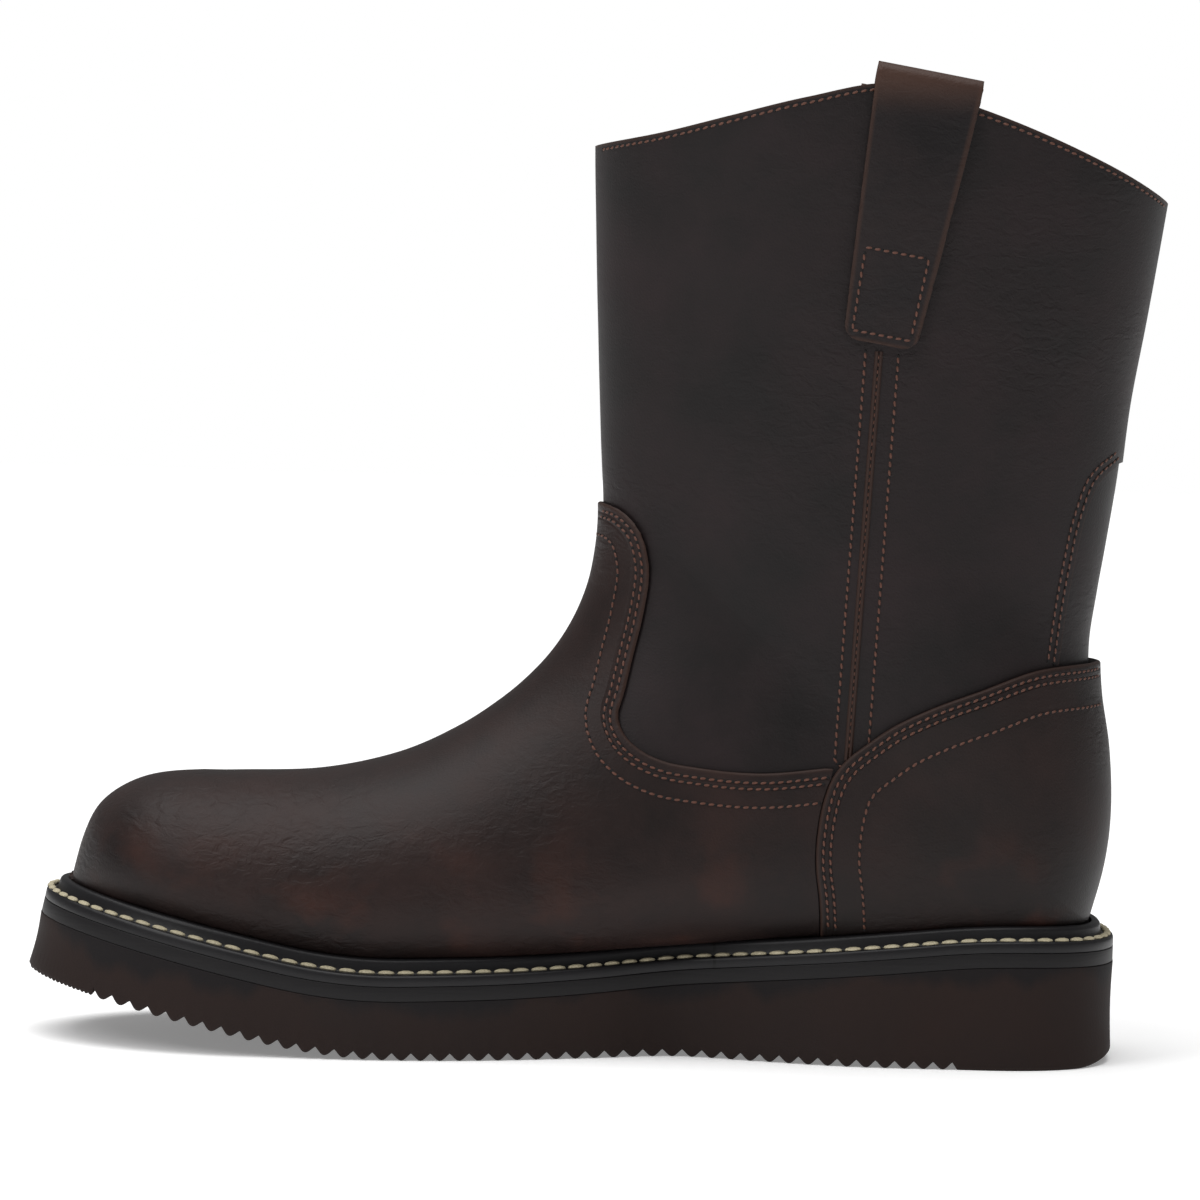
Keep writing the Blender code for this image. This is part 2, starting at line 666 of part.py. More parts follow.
def upper_surface(out):
    """The upper's outer surface, moved out by a distance, with its straight band down to the midsole."""
    foot = sorted({*range(LAST_FOOT + 1), *TOE_ROWS})
    leg = np.linspace(LAST_FOOT, LAST_LEG, LEG_STEPS + 1)[1:]
    lines = [(LATERAL, 1 - step / SIDE_STEPS) for step in range(SIDE_STEPS)]
    lines += [(MEDIAL, step / SIDE_STEPS) for step in range(SIDE_STEPS + 1)]
    last = [collar_section(around, side) for side, around in lines]
    points = []
    for section in (*foot, *leg):
        row = []
        for (side, around), end in zip(lines, last):
            climb = max(section - LAST_FOOT, 0) / (LAST_LEG - LAST_FOOT)
            reached = section if section <= LAST_FOOT else LAST_FOOT + climb * (end - LAST_FOOT)
            row.append(upper_point(reached, around, side) if section > 0 else toe_tip())
        points.append(row)
    mesh = sheet(points)
    refine_feather(mesh)
    opening = [edge for edge in mesh.edges if edge.is_boundary and is_feather(edge)]
    lowered = bmesh.ops.extrude_edge_only(mesh, edges=opening)["geom"]
    for vert in lowered:
        if isinstance(vert, bmesh.types.BMVert):
            drop_to_midsole(vert)
    bmesh.ops.triangulate(mesh, faces=mesh.faces)
    face_outwards(mesh)
    for vert in mesh.verts:
        level = any(edge.is_boundary for edge in vert.link_edges) and vert.co.z < heel_z + GAP
        normal = vert.normal.copy()
        if level:
            normal.z = 0
            normal.normalize()
        vert.co += normal * out
    return mesh


def toe_tip():
    x, z = place(FEATHER_TOE, ridge_top(FEATHER_TOE))
    return float(x), 0.0, float(z)


def is_feather(edge):
    middle = (edge.verts[0].co + edge.verts[1].co) / 2
    return middle.z < seat_height(middle.x) + RIDGE


def refine_feather(mesh):
    """Adds points to the feather line between the sections, where it turns."""
    edges = [edge for edge in mesh.edges if edge.is_boundary and is_feather(edge)]
    heel = [edge for edge in edges if (edge.verts[0].co.x + edge.verts[1].co.x) / 2 < heel_x + HEEL_ARC / 2]
    sides = [edge for edge in edges if edge not in heel]
    for found, cuts in ((heel, HEEL_CUTS), (sides, FEATHER_CUTS)):
        for item in bmesh.ops.subdivide_edges(mesh, edges=found, cuts=cuts)["geom_inner"]:
            if isinstance(item, bmesh.types.BMVert):
                away = np.hypot(FEATHER_LINE[0] - item.co.x, FEATHER_LINE[1] - item.co.y)
                item.co = FEATHER_LINE[:, np.argmin(away)]


def drop_to_midsole(vert):
    """Moves a vertex of the feather line down the straight band, to just over the midsole."""
    stations = np.linspace(0, SOLE_LENGTH, 600)
    x, z = place(stations, ridge_top(stations))
    station = np.interp(vert.co.x, x, stations)
    low_x, low_z = place(station, midsole_top(station) + GAP)
    vert.co.x, vert.co.z = float(low_x), float(low_z)


def side_curve(rows, height):
    """A smooth line seen from the side through an overlay's edge rows."""
    x, z = above_seat(column(rows, "along"), np.array(column(rows, "share")) * height)
    walked = np.concatenate([[0], np.cumsum(np.hypot(np.diff(x), np.diff(z)))])
    steps = np.linspace(0, walked[-1], 3 * len(rows))
    return list(zip(spline(walked, x)(steps), spline(walked, z)(steps)))


def prism(name, outline, finish):
    """A cutter: an outline seen from the side, right across the boot."""
    mesh = bmesh.new()
    ring = [mesh.verts.new((x, -SHAFT_WIDTH, z)) for x, z in outline]
    face = mesh.faces.new(ring)
    pushed = bmesh.ops.extrude_face_region(mesh, geom=[face])["geom"]
    verts = [item for item in pushed if isinstance(item, bmesh.types.BMVert)]
    bmesh.ops.translate(mesh, verts=verts, vec=(0, 2 * SHAFT_WIDTH, 0))
    return hide(add(name, mesh, finish, cutters))


def make_upper(finish):
    upper = thicken(add("upper", upper_surface(0), finish), WALL, -1)
    recess = hide(add("insert_form", upper_surface(0), finish, cutters))
    thicken(recess, 3 * INSERT_STEP, 1 / 3)  # a step deep into the wall, and two outwards
    edge = side_curve(INSERT_EDGE, INSERT_HEIGHT)
    behind = SEAT[0, 0] - BEYOND
    under_counter = heel_z + COUNTER_HEIGHT * 0.9
    top_z_behind = edge[0][1]
    outline = [(behind, top_z_behind)] + edge + [(edge[-1][0], under_counter), (behind, under_counter)]
    cut(recess, prism("insert_outline", outline, finish), "INTERSECT")
    cut(upper, recess, "DIFFERENCE")
    return upper


def make_vamp(finish):
    vamp = thicken(add("vamp", upper_surface(GAP), finish), VAMP, 1)
    edge = side_curve(VAMP_EDGE, TONGUE_HEIGHT)
    counter = side_curve(COUNTER_EDGE, COUNTER_HEIGHT)
    behind = [(x + GAP, z) for x, z in counter if z < edge[-1][1] - GAP]
    ahead = SOLE_LENGTH + BEYOND
    outline = [(ahead, edge[0][1])] + edge + behind + [(behind[-1][0], -BEYOND), (ahead, -BEYOND)]
    cut(vamp, prism("vamp_outline", outline, finish), "INTERSECT")
    return vamp


def make_counter(finish):
    counter = thicken(add("counter", upper_surface(GAP), finish), COUNTER, 1)
    edge = side_curve(COUNTER_EDGE, COUNTER_HEIGHT)
    back = SEAT[0, 0] - BEYOND
    outline = [(back, edge[0][1])] + edge + [(edge[-1][0], -BEYOND), (back, -BEYOND)]
    cut(counter, prism("counter_outline", outline, finish), "INTERSECT")
    return counter


# Straps and seams

def make_strap(name, side, finish):
    """A leather strap folded over the collar, its outer leg sewn to the shaft and its inner leg inside."""
    top = float(collar_height(STRAP_TOP))
    foot = top - STRAP_DROP
    lean = (STRAP_FOOT - STRAP_TOP) / STRAP_DROP
    outer = GAP + STRAP_THICKNESS / 2
    inner = -(WALL + GAP * 1.5 + STRAP_THICKNESS / 2)
    radius = (outer - inner) / 2
    legs = [(outer, foot + (top + STRAP_LOOP - foot) * step / 8) for step in range(9)]
    turn = [math.pi * step / 6 for step in range(1, 6)]
    legs += [
        ((outer + inner) / 2 + radius * math.cos(angle), top + STRAP_LOOP + radius * math.sin(angle))
        for angle in turn
    ]
    legs += [(inner, top + STRAP_LOOP - (STRAP_LOOP + STRAP_INSIDE_DROP) * step / 5) for step in range(6)]
    points = []
    for offset, z in legs:
        share = np.clip((z - foot) / STRAP_DROP, 0, 1)
        width = STRAP_FOOT_WIDTH + (STRAP_TOP_WIDTH - STRAP_FOOT_WIDTH) * share
        row = []
        for across in (-0.5, -0.25, 0, 0.25, 0.5):
            x = STRAP_TOP + lean * (top - z) + across * width
            y = side_half(x, min(z, top + STRAP_LOOP), side) + offset
            row.append((x, side * y, z))
        points.append(row)
    return thicken(add(name, sheet(points), finish), STRAP_THICKNESS, 0)


def make_seam(name, side, finish):
    """The raised bead of the side seam, from the strap down to the vamp."""
    top = float(collar_height(STRAP_TOP)) - STRAP_DROP - STRAP_THICKNESS
    foot = heel_z + SEAM_FOOT_HEIGHT
    count = 12
    points = []
    for step in range(count + 1):
        share = step / count
        z = foot + (top - foot) * share
        middle = SEAM_FOOT + (STRAP_FOOT - SEAM_FOOT) * share
        row = []
        for across in (-0.5, 0, 0.5):
            x = middle + across * SEAM_WIDTH
            row.append((x, side * (side_half(x, z, side) + GAP + SEAM_RISE / 2), z))
        points.append(row)
    return thicken(add(name, sheet(points), finish), SEAM_RISE, 0)


clear_scene()
dark_leather = material("oiled_leather", (0.024, 0.017, 0.016), 0.55)
brown_leather = material("brown_leather", (0.045, 0.024, 0.018), 0.6)
black_rubber = material("black_rubber", (0.012, 0.012, 0.014), 0.5)
brown_rubber = material("brown_rubber", (0.028, 0.017, 0.015), 0.8)
board = material("leather_board", (0.16, 0.10, 0.06), 0.8)

make_outsole(brown_rubber)
make_midsole(black_rubber)
make_welt(black_rubber)
make_insole(board)
make_upper(dark_leather)
make_vamp(dark_leather)
make_counter(dark_leather)
for side, side_name in ((MEDIAL, "medial"), (LATERAL, "lateral")):
    make_strap(f"pull_strap_{side_name}", side, brown_leather)
    make_seam(f"side_seam_{side_name}", side, brown_leather)
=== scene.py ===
import math

import bmesh
import bpy
import numpy as np
from mathutils import Matrix, Vector
from mathutils.bvhtree import BVHTree


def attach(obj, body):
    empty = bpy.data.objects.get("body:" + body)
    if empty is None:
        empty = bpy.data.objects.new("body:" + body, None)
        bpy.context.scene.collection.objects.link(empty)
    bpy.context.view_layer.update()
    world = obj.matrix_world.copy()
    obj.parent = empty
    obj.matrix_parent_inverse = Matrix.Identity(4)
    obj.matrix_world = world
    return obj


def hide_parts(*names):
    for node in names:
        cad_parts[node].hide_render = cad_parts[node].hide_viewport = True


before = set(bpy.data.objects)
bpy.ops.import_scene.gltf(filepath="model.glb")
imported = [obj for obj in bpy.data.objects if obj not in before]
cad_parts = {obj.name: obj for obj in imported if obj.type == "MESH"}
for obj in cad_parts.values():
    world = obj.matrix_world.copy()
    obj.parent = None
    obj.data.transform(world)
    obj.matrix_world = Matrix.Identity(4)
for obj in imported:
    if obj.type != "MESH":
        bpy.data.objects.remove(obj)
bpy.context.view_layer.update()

# ---------------------------------------------------------------------------------------------------
# Outsole: one wedge of dark brown blown rubber, thick at the heel and bent up at the toe. It is moulded
# with sawtooth lugs and a finer tread at its tip, cemented under the midsole and trimmed with it on the
# finished boot, which leaves its sides dull, with a fine grain.

MEDIAL, LATERAL = 1, -1
SOLE_LENGTH = 0.3095
BALL_WIDTH = 0.111
HEEL_WIDTH = 0.080
HEEL_CENTRE = 0.038
HEEL_THICKNESS = 0.0284
BALL_THICKNESS = 0.0164
TOE_SPRING = math.radians(12)
SPRING_START = 0.2005
SPRING_BEND = 0.040
HEEL_CAP = 0.040
TOE_CAP = {MEDIAL: 0.068, LATERAL: 0.093}
HEEL_EDGE_RISE = 0.0030
HEEL_EDGE_LENGTH = 0.012
TREAD_START = 0.047
TREAD_END = 0.288
LUG_PITCH = 0.00535
LUG_DEPTH = 0.0020
TIP_PITCH = 0.0013
TIP_DEPTH = 0.0007
OUTSOLE_EDGE = 0.0009
OUTSOLE_TOP_EDGE = OUTSOLE_EDGE * 0.4
SIDE_HOLLOW = 0.0004
WELD = 2e-6


def spline(knots, values):
    """A smooth curve through the knots."""
    knots, values = np.asarray(knots, float), np.asarray(values, float)
    steps = np.diff(knots)
    secants = np.diff(values) / steps
    slopes = np.empty_like(values)
    slopes[1:-1] = (secants[:-1] * steps[1:] + secants[1:] * steps[:-1]) / (steps[:-1] + steps[1:])
    slopes[0], slopes[-1] = secants[0], secants[-1]

    def at(place):
        place = np.clip(place, knots[0], knots[-1])
        low = np.clip(np.searchsorted(knots, place, side="right") - 1, 0, len(steps) - 1)
        step = steps[low]
        t = (place - knots[low]) / step
        left = values[low] * (1 + 2 * t) * (1 - t) ** 2 + slopes[low] * step * t * (1 - t) ** 2
        right = values[low + 1] * (3 - 2 * t) * t**2 - slopes[low + 1] * step * (1 - t) * t**2
        return left + right

    return at


def blend(share):
    share = np.clip(share, 0, 1)
    return share * share * (3 - 2 * share)


half_outline = {
    MEDIAL: spline(
        (0.13, 0.25, 0.33, 0.40, 0.48, 0.58, 0.68, 0.78),
        (0.03920, 0.03840, 0.03200, 0.02640, 0.03552, 0.04662, 0.05106, 0.05051),
    ),
    LATERAL: spline(
        (0.13, 0.25, 0.33, 0.40, 0.48, 0.58, 0.68, 0.78),
        (0.04040, 0.04000, 0.04000, 0.04120, 0.04551, 0.05273, 0.05828, 0.05772),
    ),
}
wedge = spline((0, 0.13, 0.21, 0.32, 0.42, 0.52, 0.62, 1), (1, 1, 0.81, 0.52, 0.26, 0.08, 0, -0.04))


def outline_half(station, side):
    """Half width of the sole on one side, at a distance along the tread from the back."""
    heel = np.clip((HEEL_CAP - station) / HEEL_CAP, 0, 1)
    toe = np.clip((station - SOLE_LENGTH + TOE_CAP[side]) / TOE_CAP[side], 0, 1)
    rounded = (1 - heel**2.4) ** (1 / 2.4) * (1 - toe**2) ** (1 / 2)
    return half_outline[side](station / SOLE_LENGTH) * rounded


def place(station, height):
    """The point (x, z) over a station of the tread, square to it."""
    radius = SPRING_BEND / TOE_SPRING
    angle = np.clip((station - SPRING_START) / radius, 0, TOE_SPRING)
    flat = np.minimum(station, SPRING_START)
    past = np.maximum(station - SPRING_START - SPRING_BEND, 0)
    x = flat + radius * np.sin(angle) + past * np.cos(angle) - height * np.sin(angle)
    z = radius * (1 - np.cos(angle)) + past * np.sin(angle) + height * np.cos(angle)
    return x - HEEL_CENTRE, z


def outsole_top(station):
    return BALL_THICKNESS + (HEEL_THICKNESS - BALL_THICKNESS) * wedge(station / SOLE_LENGTH)


def rim_point(turn):
    station = SOLE_LENGTH * (1 - np.cos(turn)) / 2
    medial, lateral = outline_half(station, MEDIAL), -outline_half(station, LATERAL)
    return np.stack([station, np.where(np.sin(turn) >= 0, medial, lateral)], axis=-1)


def rim(turn, inset):
    """The sole's outline as (station, y), moved inwards by inset(station)."""
    points = rim_point(turn)
    tangent = rim_point(turn + 1e-3) - rim_point(turn - 1e-3)
    tangent /= np.linalg.norm(tangent, axis=1)[:, None]
    inward = np.stack([tangent[:, 1], -tangent[:, 0]], axis=1)
    return points + inward * np.broadcast_to(inset(points[:, 0]), len(turn))[:, None]


def steady(value):
    """An inset that is the same all round."""
    return lambda station: value


def loft(points):
    """A grid through rows and columns of points, welded where they meet."""
    points = np.asarray(points)
    rows, columns = points.shape[:2]
    mesh = bmesh.new()
    bmesh.ops.create_grid(mesh, x_segments=columns - 1, y_segments=rows - 1, size=1)
    for vert in mesh.verts:
        across = round((vert.co.x + 1) / 2 * (columns - 1))
        along = round((vert.co.y + 1) / 2 * (rows - 1))
        vert.co = points[along, across]
    bmesh.ops.remove_doubles(mesh, verts=mesh.verts, dist=WELD)
    bmesh.ops.dissolve_degenerate(mesh, edges=mesh.edges, dist=WELD)
    return mesh


def fit(name, mesh, finish, slot, *nodes, sharp=40):
    """Makes a piece of the mesh and ties it to the boot in place of its CAD nodes."""
    bmesh.ops.recalc_face_normals(mesh, faces=mesh.faces)
    data = bpy.data.meshes.new(name)
    mesh.to_mesh(data)
    mesh.free()
    data.shade_smooth()
    data.set_sharp_from_angle(angle=math.radians(sharp))
    data.materials.append(finish)
    piece = bpy.data.objects.new(name, data)
    bpy.context.scene.collection.objects.link(piece)
    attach(piece, "root")
    if nodes:
        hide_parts(*nodes)
    return piece


def linear(colour):
    """An sRGB hex colour as linear RGBA."""
    channels = [int(colour[index : index + 2], 16) / 255 for index in (1, 3, 5)]
    return (*[c / 12.92 if c <= 0.04045 else ((c + 0.055) / 1.055) ** 2.4 for c in channels], 1)


def add_node(tree, kind, inputs, **settings):
    """A shader node with its settings: an input is a value, or the socket that it is linked to."""
    made = tree.nodes.new("ShaderNode" + kind)
    for key, value in settings.items():
        setattr(made, key, value)
    for key, value in inputs.items():
        if isinstance(value, bpy.types.NodeSocket):
            tree.links.new(value, made.inputs[key])
        else:
            made.inputs[key].default_value = value
    return made


def start_finish(name, **sockets):
    """A material's tree, its shader with these constant sockets, and its object coordinates."""
    made = bpy.data.materials.new(name)
    made.use_nodes = True
    tree = made.node_tree
    shader = tree.nodes["Principled BSDF"]
    for key, value in sockets.items():
        shader.inputs[key.replace("_", " ")].default_value = value
    place_in = tree.nodes.new("ShaderNodeTexCoord").outputs["Object"]
    return made, tree, shader, place_in


# Blown rubber with its skin trimmed off: dull, with pores of about 0.4 mm and dusty brown streaks
rubber, tree, shader, where = start_finish("blown_brown_rubber", IOR=1.5, Specular_IOR_Level=0.2)
cloud = add_node(
    tree, "TexNoise", {"Vector": where, "Scale": 28.0, "Detail": 5.0, "Roughness": 0.6}
)
tones = add_node(
    tree,
    "Mix",
    {0: cloud.outputs["Fac"], 6: linear("#1c1514"), 7: linear("#2b1e1a")},
    data_type="RGBA",
)
pores = add_node(
    tree, "TexNoise", {"Vector": where, "Scale": 1500.0, "Detail": 3.0, "Roughness": 0.6}
)
# edge ink that ran down from the midsole, by the attribute that holds the depth below the top edge
depth = add_node(tree, "Attribute", {}, attribute_name="below_top")
runs = add_node(tree, "Mapping", {"Vector": where, "Scale": (38.0, 38.0, 8.0)})
drips = add_node(tree, "TexNoise", {"Vector": runs.outputs[0], "Scale": 1.0, "Detail": 4.0})
reach = add_node(
    tree,
    "MapRange",
    {"Value": drips.outputs["Fac"], "From Min": 0.4, "From Max": 0.72, "To Max": 0.011},
)
shortfall = add_node(
    tree, "Math", {0: reach.outputs[0], 1: depth.outputs["Fac"]}, operation="SUBTRACT"
)
inked = add_node(
    tree,
    "MapRange",
    {"Value": shortfall.outputs[0], "From Min": -0.001, "From Max": 0.003, "To Max": 0.8},
)
smeared = add_node(
    tree,
    "Mix",
    {0: inked.outputs[0], 6: tones.outputs[2], 7: linear("#131214")},
    data_type="RGBA",
)
tree.links.new(smeared.outputs[2], shader.inputs["Base Color"])
dull = add_node(
    tree, "MapRange", {"Value": cloud.outputs["Fac"], "To Min": 0.62, "To Max": 0.82}
)
tree.links.new(dull.outputs[0], shader.inputs["Roughness"])
scuffed = add_node(
    tree, "Bump", {"Height": pores.outputs["Fac"], "Strength": 0.35, "Distance": 0.0002}
)
tree.links.new(scuffed.outputs[0], shader.inputs["Normal"])

heel_stations = (TREAD_START - LUG_PITCH / 4) * (1 - np.cos(np.linspace(0, math.pi / 2, 26)))
lug_stations = np.arange(TREAD_START, TREAD_END, LUG_PITCH / 10)
left_over = SOLE_LENGTH - lug_stations[-1]
tip_stations = lug_stations[-1] + left_over * np.sin(np.linspace(0, math.pi / 2, 90))[1:]


def tread(station):
    """Height of the tread's underside: bevelled heel, then pointed valleys between rounded crests."""
    heel = HEEL_EDGE_RISE * (1 - np.clip(station / HEEL_EDGE_LENGTH, 0, 1)) ** 2
    lug = LUG_DEPTH * (1 - np.abs(np.sin(math.pi * (station - TREAD_START) / LUG_PITCH)) ** 1.25)
    tip = TIP_DEPTH * np.abs(((station - TREAD_END) / TIP_PITCH) % 1 - 0.5) * 2
    return np.where(station < TREAD_START, heel, np.where(station < TREAD_END, lug, tip))


outsole_stations = np.concatenate([heel_stations, lug_stations, tip_stations])
outsole_turn = np.arccos(np.clip(1 - 2 * outsole_stations / SOLE_LENGTH, -1, 1))
edge_turns = np.linspace(0, math.pi / 2, 5)
side_steps = np.linspace(0, 1, 8)[1:-1]
sides = []
for side in (MEDIAL, LATERAL):
    turn = outsole_turn if side == MEDIAL else 2 * math.pi - outsole_turn
    low, high = tread(outsole_stations), outsole_top(outsole_stations)
    lines = []
    for angle in edge_turns:
        inset = OUTSOLE_EDGE * (1 - math.sin(angle))
        lines.append((inset, low + OUTSOLE_EDGE * (1 - math.cos(angle))))
    for step in side_steps:
        flat = high - low - OUTSOLE_EDGE - OUTSOLE_TOP_EDGE
        lines.append((SIDE_HOLLOW * math.sin(math.pi * step), low + OUTSOLE_EDGE + flat * step))
    for angle in edge_turns:
        inset = OUTSOLE_TOP_EDGE * (1 - math.cos(angle))
        lines.append((inset, high - OUTSOLE_TOP_EDGE * (1 - math.sin(angle))))
    loops = []
    for inset, height in lines:
        loop = rim(turn, steady(inset))
        loop[[0, -1], 1] = 0
        x, z = place(loop[:, 0], height)
        loops.append(np.stack([x, loop[:, 1], z], axis=1))
    sides.append(loops)
around_outsole = sides[0] + sides[1][::-1]
outsole_mesh = loft(np.stack(around_outsole + around_outsole[:1], axis=1))
top_edge = place(outsole_stations, outsole_top(outsole_stations))
below_top = outsole_mesh.verts.layers.float.new("below_top")
for vert in outsole_mesh.verts:
    vert[below_top] = float(np.interp(vert.co.x, *top_edge)) - vert.co.z
fit("outsole_rubber", outsole_mesh, rubber, "brown_rubber", "outsole", sharp=35)

# ---------------------------------------------------------------------------------------------------
# Midsole: a strip of black rubber sheet between outsole and welt, cemented to both. Its edge is trimmed
# and inked with the outsole's, so it shows as a dark band with a thin line above and below it.

MIDSOLE = 0.0041
SEAM_LINE = 0.00008
MIDSOLE_EDGE = 0.0001
MIDSOLE_ROUND = 0.0002
MIDSOLE_STRIP = 0.016
GAP = 0.0003

# Solid black rubber, cut and inked: smoother than the outsole, with long fine cutting marks
black, tree, shader, where = start_finish(
    "inked_black_rubber", Roughness=0.5, IOR=1.5, Specular_IOR_Level=0.22
)
marks = add_node(tree, "Mapping", {"Vector": where, "Scale": (60.0, 60.0, 1400.0)})
cuts = add_node(tree, "TexNoise", {"Vector": marks.outputs[0], "Scale": 1.0, "Detail": 3.0})
tones = add_node(
    tree,
    "Mix",
    {0: cuts.outputs["Fac"], 6: linear("#141314"), 7: linear("#1c1a1b")},
    data_type="RGBA",
)
tree.links.new(tones.outputs[2], shader.inputs["Base Color"])
cut_edge = add_node(
    tree, "Bump", {"Height": cuts.outputs["Fac"], "Strength": 0.25, "Distance": 0.0002}
)
tree.links.new(cut_edge.outputs[0], shader.inputs["Normal"])


def midsole_top(station):
    return outsole_top(station) + MIDSOLE


def above(level, rise):
    """A line of the sole moved by the same amount all round: a height upwards, an inset inwards."""
    return lambda station: level(station) + rise


def bent(loop, height):
    """The points of a loop of the rim, at a height over the bent sole."""
    x, z = place(loop[:, 0], height(loop[:, 0]))
    return np.stack([x, loop[:, 1], z], axis=1)


def wrap(turn, lines):
    """A closed strip round the sole: lines hold (inset, height), from its inner edge and round."""
    loops = [bent(rim(turn, inset), height) for inset, height in lines]
    return loft(np.stack([np.concatenate([loop, loop[:1]]) for loop in loops + loops[:1]]))


full_turn = np.linspace(0, 2 * math.pi, 480, endpoint=False)
mid_lines = [(steady(MIDSOLE_STRIP), above(outsole_top, SEAM_LINE))]
for angle in np.linspace(0, math.pi / 2, 4):
    inset = MIDSOLE_EDGE + MIDSOLE_ROUND * (1 - math.sin(angle))
    rise = MIDSOLE_ROUND * (1 - math.cos(angle))
    mid_lines.append((steady(inset), above(outsole_top, SEAM_LINE + rise)))
for angle in np.linspace(0, math.pi / 2, 4):
    inset = MIDSOLE_EDGE + MIDSOLE_ROUND * (1 - math.cos(angle))
    drop = MIDSOLE_ROUND * (1 - math.sin(angle))
    mid_lines.append((steady(inset), above(midsole_top, -drop)))
mid_lines.append((steady(MIDSOLE_STRIP), midsole_top))
fit("midsole_rubber", wrap(full_turn, mid_lines), black, "black_rubber", "midsole")

# ---------------------------------------------------------------------------------------------------
# Storm welt: a black rubber strip all round, its flat sewn down to the midsole and its raised ridge
# pressed against the upper to keep water out. It is one moulded strip, cut and joined at the waist.

WELT = 0.0032
WELT_EXTENSION = 0.009
RIDGE = 0.0038
RIDGE_WIDTH = 0.0026
WELT_ROUND = 0.0009
WELT_BEVEL = 0.00026
GROOVE_FROM_RIDGE = 0.0019
VAMP = 0.0013
COUNTER = 0.0021
JOIN_STATION = 0.1135

extension_share = spline((0, 0.13, 0.33, 0.45, 0.62, 0.85, 1), (0.86, 0.87, 0.80, 0.80, 1, 1, 0.66))


def welt_top(station):
    return midsole_top(station) + WELT


def ridge_top(station):
    return welt_top(station) + RIDGE


def extension(station):
    return WELT_EXTENSION * extension_share(station / SOLE_LENGTH)


def welt_inset(station):
    past_counter = blend((station / SOLE_LENGTH - 0.30) / 0.06)
    return extension(station) - GAP - (COUNTER - VAMP + GAP) * (1 - past_counter)


def groove_inset(station):
    return welt_inset(station) - RIDGE_WIDTH - GROOVE_FROM_RIDGE


def mottled(name, dark, light, scale, detail, **sockets):
    """A finish in two tones by a noise: its material, tree, shader, coordinates and tones."""
    made, tree, shader, where = start_finish(name, **sockets)
    noise = add_node(tree, "TexNoise", {"Vector": where, "Scale": scale, "Detail": detail})
    tones = add_node(
        tree,
        "Mix",
        {0: noise.outputs["Fac"], 6: linear(dark), 7: linear(light)},
        data_type="RGBA",
    )
    tree.links.new(tones.outputs[2], shader.inputs["Base Color"])
    return made, tree, shader, where, tones


# Moulded black rubber, waxed in wear: satin, faintly mottled, with painted shade in the cut where its
# ends meet
welt_rubber, tree, shader, where, tones = mottled(
    "moulded_welt_rubber",
    *("#121113", "#1b1a1c", 90.0, 4.0),
    Roughness=0.42,
    IOR=1.5,
    Specular_IOR_Level=0.28,
)
axes = add_node(tree, "SeparateXYZ", {0: where})
# painted shade: a near-black band 0.8 mm wide across the welt at its join, on the medial side only
from_join = add_node(
    tree,
    "Math",
    {0: axes.outputs["X"], 1: float(place(JOIN_STATION, 0)[0]), 2: 0.0004},
    operation="COMPARE",
)
medial_side = add_node(tree, "Math", {0: axes.outputs["Y"], 1: 0.0}, operation="GREATER_THAN")
split = add_node(
    tree, "Math", {0: from_join.outputs[0], 1: medial_side.outputs[0]}, operation="MULTIPLY"
)
join_gap_painted_shade = add_node(
    tree,
    "Mix",
    {0: split.outputs[0], 6: tones.outputs[2], 7: linear("#060505")},
    data_type="RGBA",
)
tree.links.new(join_gap_painted_shade.outputs[2], shader.inputs["Base Color"])
grain = add_node(tree, "TexNoise", {"Vector": where, "Scale": 900.0, "Detail": 3.0})
moulded = add_node(
    tree, "Bump", {"Height": grain.outputs["Fac"], "Strength": 0.2, "Distance": 0.0002}
)
tree.links.new(moulded.outputs[0], shader.inputs["Normal"])


welt_lines = [
    (welt_inset, above(midsole_top, SEAM_LINE)),
    (steady(MIDSOLE_EDGE + 0.0004), above(midsole_top, SEAM_LINE)),
    (steady(MIDSOLE_EDGE + 0.0001), above(midsole_top, SEAM_LINE + 0.0001)),
    (steady(MIDSOLE_EDGE), above(midsole_top, SEAM_LINE + 0.0004)),
    (steady(MIDSOLE_EDGE), above(welt_top, -WELT_ROUND)),
    (steady(MIDSOLE_EDGE + WELT_BEVEL), above(welt_top, -WELT_BEVEL)),
    (steady(MIDSOLE_EDGE + WELT_ROUND), welt_top),
]
# the groove that the stitches lie in, from its outer lip to its inner one
for way, drop in ((0.0011, 0), (0.0006, 0.0006), (0.0, 0.0008), (-0.0006, 0.0006), (-0.0011, 0)):
    welt_lines.append((above(groove_inset, -way), above(welt_top, -drop)))
# the ridge, rounded over from its foot to its top against the upper
welt_lines.append((above(welt_inset, -RIDGE_WIDTH - 0.0003), welt_top))
welt_lines.append((above(welt_inset, -RIDGE_WIDTH), above(welt_top, 0.0005)))
for angle in np.linspace(0, math.pi / 2, 5):
    way = RIDGE_WIDTH * (0.94 - 0.6 * (1 - math.cos(angle)))
    welt_lines.append((above(welt_inset, -way), above(ridge_top, -0.0014 * (1 - math.sin(angle)))))
welt_lines.append((welt_inset, above(ridge_top, -0.0002)))
fit("welt_strip", wrap(full_turn, welt_lines), welt_rubber, "welt_rubber", "welt", sharp=50)

# ---------------------------------------------------------------------------------------------------
# Welt stitching: waxed cream lockstitch thread, about five to the inch, drawn down into the groove of
# the welt through the midsole all the way round.

WELT_STITCH = 0.0054
WELT_STITCH_LENGTH = 0.0048
WELT_THREAD = 0.0022

# Waxed polyester thread: dull cream, with darker spots at random, painted shade for the hollows between
# its twisted plies
thread = mottled("waxed_cream_thread", "#8a8168", "#d2c8aa", 2200.0, 2.0, Roughness=0.6)[0]


